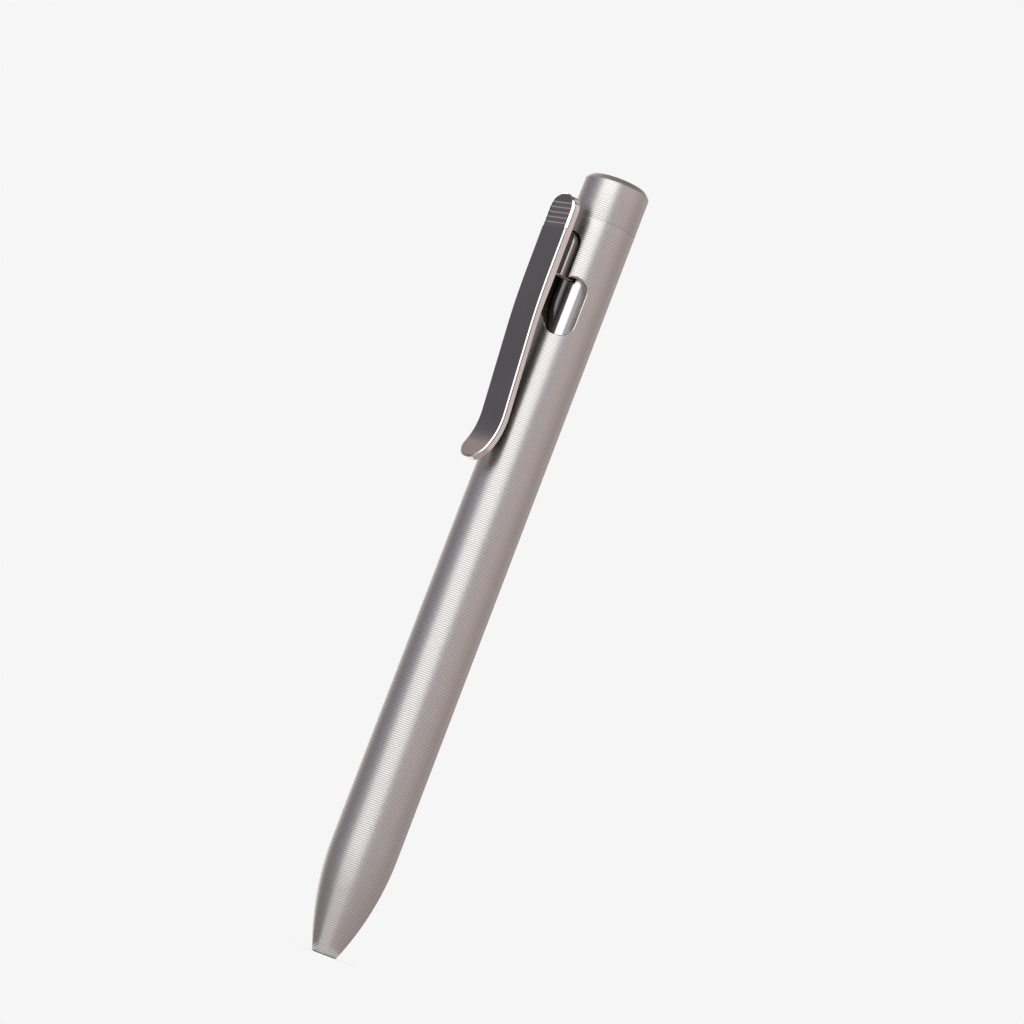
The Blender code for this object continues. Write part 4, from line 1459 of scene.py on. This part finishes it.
@dataclass
class Studio:
    """A pale floor and backdrop, soft even light, and shells for the metal to reflect."""

    background: float = 0.9216
    floor_depth: float = 144.0
    floor_half: float = 6000.0
    shadow_fade: Pair = (3.0, 9.0)
    shells: tuple[Shell, ...] = (
        Shell("studio_wall", ((1200.0, 143.5), (1200.0, -950.0)), (
            (-180.0, 0.47, 0.42, 0.415), (-166.0, 0.55, 0.49, 0.485), (-158.0, 0.46, 0.41, 0.405),
            (-152.0, 0.36, 0.32, 0.318), (-141.0, 0.36, 0.32, 0.318), (-138.0, 1.70, 1.67, 1.67),
            (-106.0, 1.70, 1.67, 1.67), (-100.0, 0.75, 0.71, 0.72), (-90.0, 0.66, 0.62, 0.63),
            (-80.0, 0.44, 0.415, 0.42), (-72.0, 0.32, 0.305, 0.325), (-62.0, 0.26, 0.25, 0.272),
            (-46.0, 0.245, 0.233, 0.262), (-30.0, 0.325, 0.315, 0.35), (-14.0, 0.47, 0.46, 0.50),
            (-5.0, 0.64, 0.63, 0.67), (-2.0, 1.50, 1.51, 1.54), (52.0, 1.50, 1.51, 1.54),
            (55.0, 0.40, 0.415, 0.49), (66.0, 0.43, 0.435, 0.49), (72.0, 0.52, 0.485, 0.50),
            (98.0, 0.59, 0.535, 0.535), (114.0, 0.60, 0.54, 0.535), (130.0, 0.51, 0.455, 0.45),
            (146.0, 0.44, 0.392, 0.388), (162.0, 0.40, 0.355, 0.35), (180.0, 0.47, 0.42, 0.415),
        ), 1.4),
        Shell("studio_wall_high", ((1200.0, -950.0), (1200.0, -1350.0)), (
            (-180.0, 0.55, 0.50, 0.49), (-141.0, 0.55, 0.50, 0.49), (-138.0, 1.80, 1.77, 1.77),
            (-106.0, 1.80, 1.77, 1.77), (-90.0, 0.90, 0.85, 0.86), (-76.0, 0.65, 0.54, 0.51),
            (-6.0, 0.65, 0.54, 0.51), (-1.0, 2.10, 2.08, 2.08), (52.0, 2.10, 2.08, 2.08),
            (56.0, 0.60, 0.58, 0.62), (72.0, 0.75, 0.67, 0.66), (180.0, 0.60, 0.53, 0.52),
        )),
        Shell("studio_table", ((4.0, 143.8), (1200.0, 143.8)), (
            (-180.0, 0.42, 0.375, 0.37), (-166.0, 0.36, 0.32, 0.315), (-141.0, 0.38, 0.34, 0.335),
            (-138.0, 1.35, 1.35, 1.35), (-106.0, 1.35, 1.35, 1.35), (-90.0, 1.05, 1.02, 1.03),
            (-76.0, 0.42, 0.395, 0.40), (-62.0, 0.27, 0.255, 0.26), (-4.0, 0.27, 0.255, 0.26),
            (-1.0, 0.72, 0.70, 0.72), (56.0, 0.72, 0.70, 0.72), (60.0, 0.56, 0.50, 0.49),
            (98.0, 0.50, 0.445, 0.435), (130.0, 0.46, 0.41, 0.40), (180.0, 0.42, 0.375, 0.37),
        )),
        Shell("studio_roof", ((1.0, -1300.0), (1150.0, -1300.0)), (
            (-180.0, 0.19, 0.181, 0.187), (180.0, 0.19, 0.181, 0.187),
        )),
    )

    def glow(self) -> Material:
        """A glowing material whose light is the one kept on the points.

        Returns:
            The material.
        """
        material = bpy.data.materials.new("studio_glow")
        graph = Graph(material)
        light = graph.add("Attribute", attribute_name="light")
        graph.close("Emission", {"Color": light, "Strength": 1.0})
        return material

    def floor(self) -> None:
        """A wide pale floor whose far edge meets the backdrop's tone."""
        ends = np.array([-self.floor_half, self.floor_half])
        across, along = np.meshgrid(ends, ends)
        piece = object_from("studio_floor", grid(upright(across, -along, self.floor_depth)))
        material = bpy.data.materials.new("studio_floor")
        graph = Graph(material)
        tone = (*[self.background] * 3, 1.0)
        matt = graph.add("BsdfDiffuse", {"Color": tone})
        even = graph.add("Emission", {"Color": tone, "Strength": 1.0})
        away = graph.spot()[3].ramp(*self.shadow_fade)
        graph.close("MixShader", {0: seen_directly(graph) * away, 1: matt, 2: even})
        piece.data.materials.append(material)

    def world(self) -> None:
        """Even light for matt surfaces, and the backdrop's tone for the camera and reflections."""
        world = bpy.data.worlds.new("studio_light")
        bpy.context.scene.world = world
        graph = Graph(world)
        tone = graph.mix(seen_directly(graph), (1.0, 1.0, 1.0), (self.background,) * 3)
        graph.close("Background", {"Color": tone, "Strength": 1.0}, "OutputWorld")

    def build(self) -> None:
        """Builds the floor, the shells and the world, and sets the view's plain transform."""
        self.floor()
        glow = self.glow()
        for shell in self.shells:
            shell.build(glow)
        self.world()
        bpy.context.scene.view_settings.view_transform = "Standard"


@dataclass
class PhotoCamera:
    """The photograph's camera, fitted to the pen's outline and track."""

    distance: float = 647.2
    height: float = -139.85
    azimuth: float = 50.0
    pitch: float = 6.944
    pan: float = 0.270
    roll: float = 20.905
    focal_pixels: float = 3747.0
    picture: int = 1024
    sensor: float = 36.0

    def build(self) -> None:
        """Sets the camera.

        Formula: the view direction is raised by the pitch and turned by the pan from the
        line to the pen's axis; the picture's own axes are then rolled about it, and all is
        turned about the pen's axis to the camera's azimuth.
        """
        pitch, pan, roll = (math.radians(angle) for angle in (self.pitch, self.pan, self.roll))
        ahead = Vector((math.sin(pan) * math.cos(pitch), math.cos(pan) * math.cos(pitch), math.sin(pitch)))
        right = Vector((math.cos(pan), -math.sin(pan), 0.0))
        up = right.cross(ahead)
        right, up = (
            math.cos(roll) * right + math.sin(roll) * up,
            -math.sin(roll) * right + math.cos(roll) * up,
        )
        axes = Matrix((right, up, -ahead)).transposed().to_4x4()
        spot = Matrix.Translation((0.0, -self.distance * MM, self.height * MM))
        data = bpy.data.cameras.new("photo_camera")
        data.sensor_width = self.sensor
        data.lens = self.focal_pixels * self.sensor / self.picture
        camera = placed("photo_camera", data)
        camera.matrix_world = Matrix.Rotation(math.radians(self.azimuth), 4, "Z") @ spot @ axes
        bpy.context.scene.camera = camera


def main() -> None:
    """Builds the pen's pieces, finishes the solids that stay, and sets up the studio."""
    logging.basicConfig(level=logging.INFO, format="%(name)s: %(message)s")
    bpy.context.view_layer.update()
    pieces: list[Object] = []
    for part in (Barrel(), EndCap(), ClipBar(), Post(), Plunger(), Spring(), Refill()):
        pieces += part.build()
    for node, finish in KEPT_SOLIDS.items():
        coat(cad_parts[node], finish)
    Studio().build()
    PhotoCamera().build()
    LOG.info("%d pieces made", len(pieces))


if __name__ == "__main__":
    main()
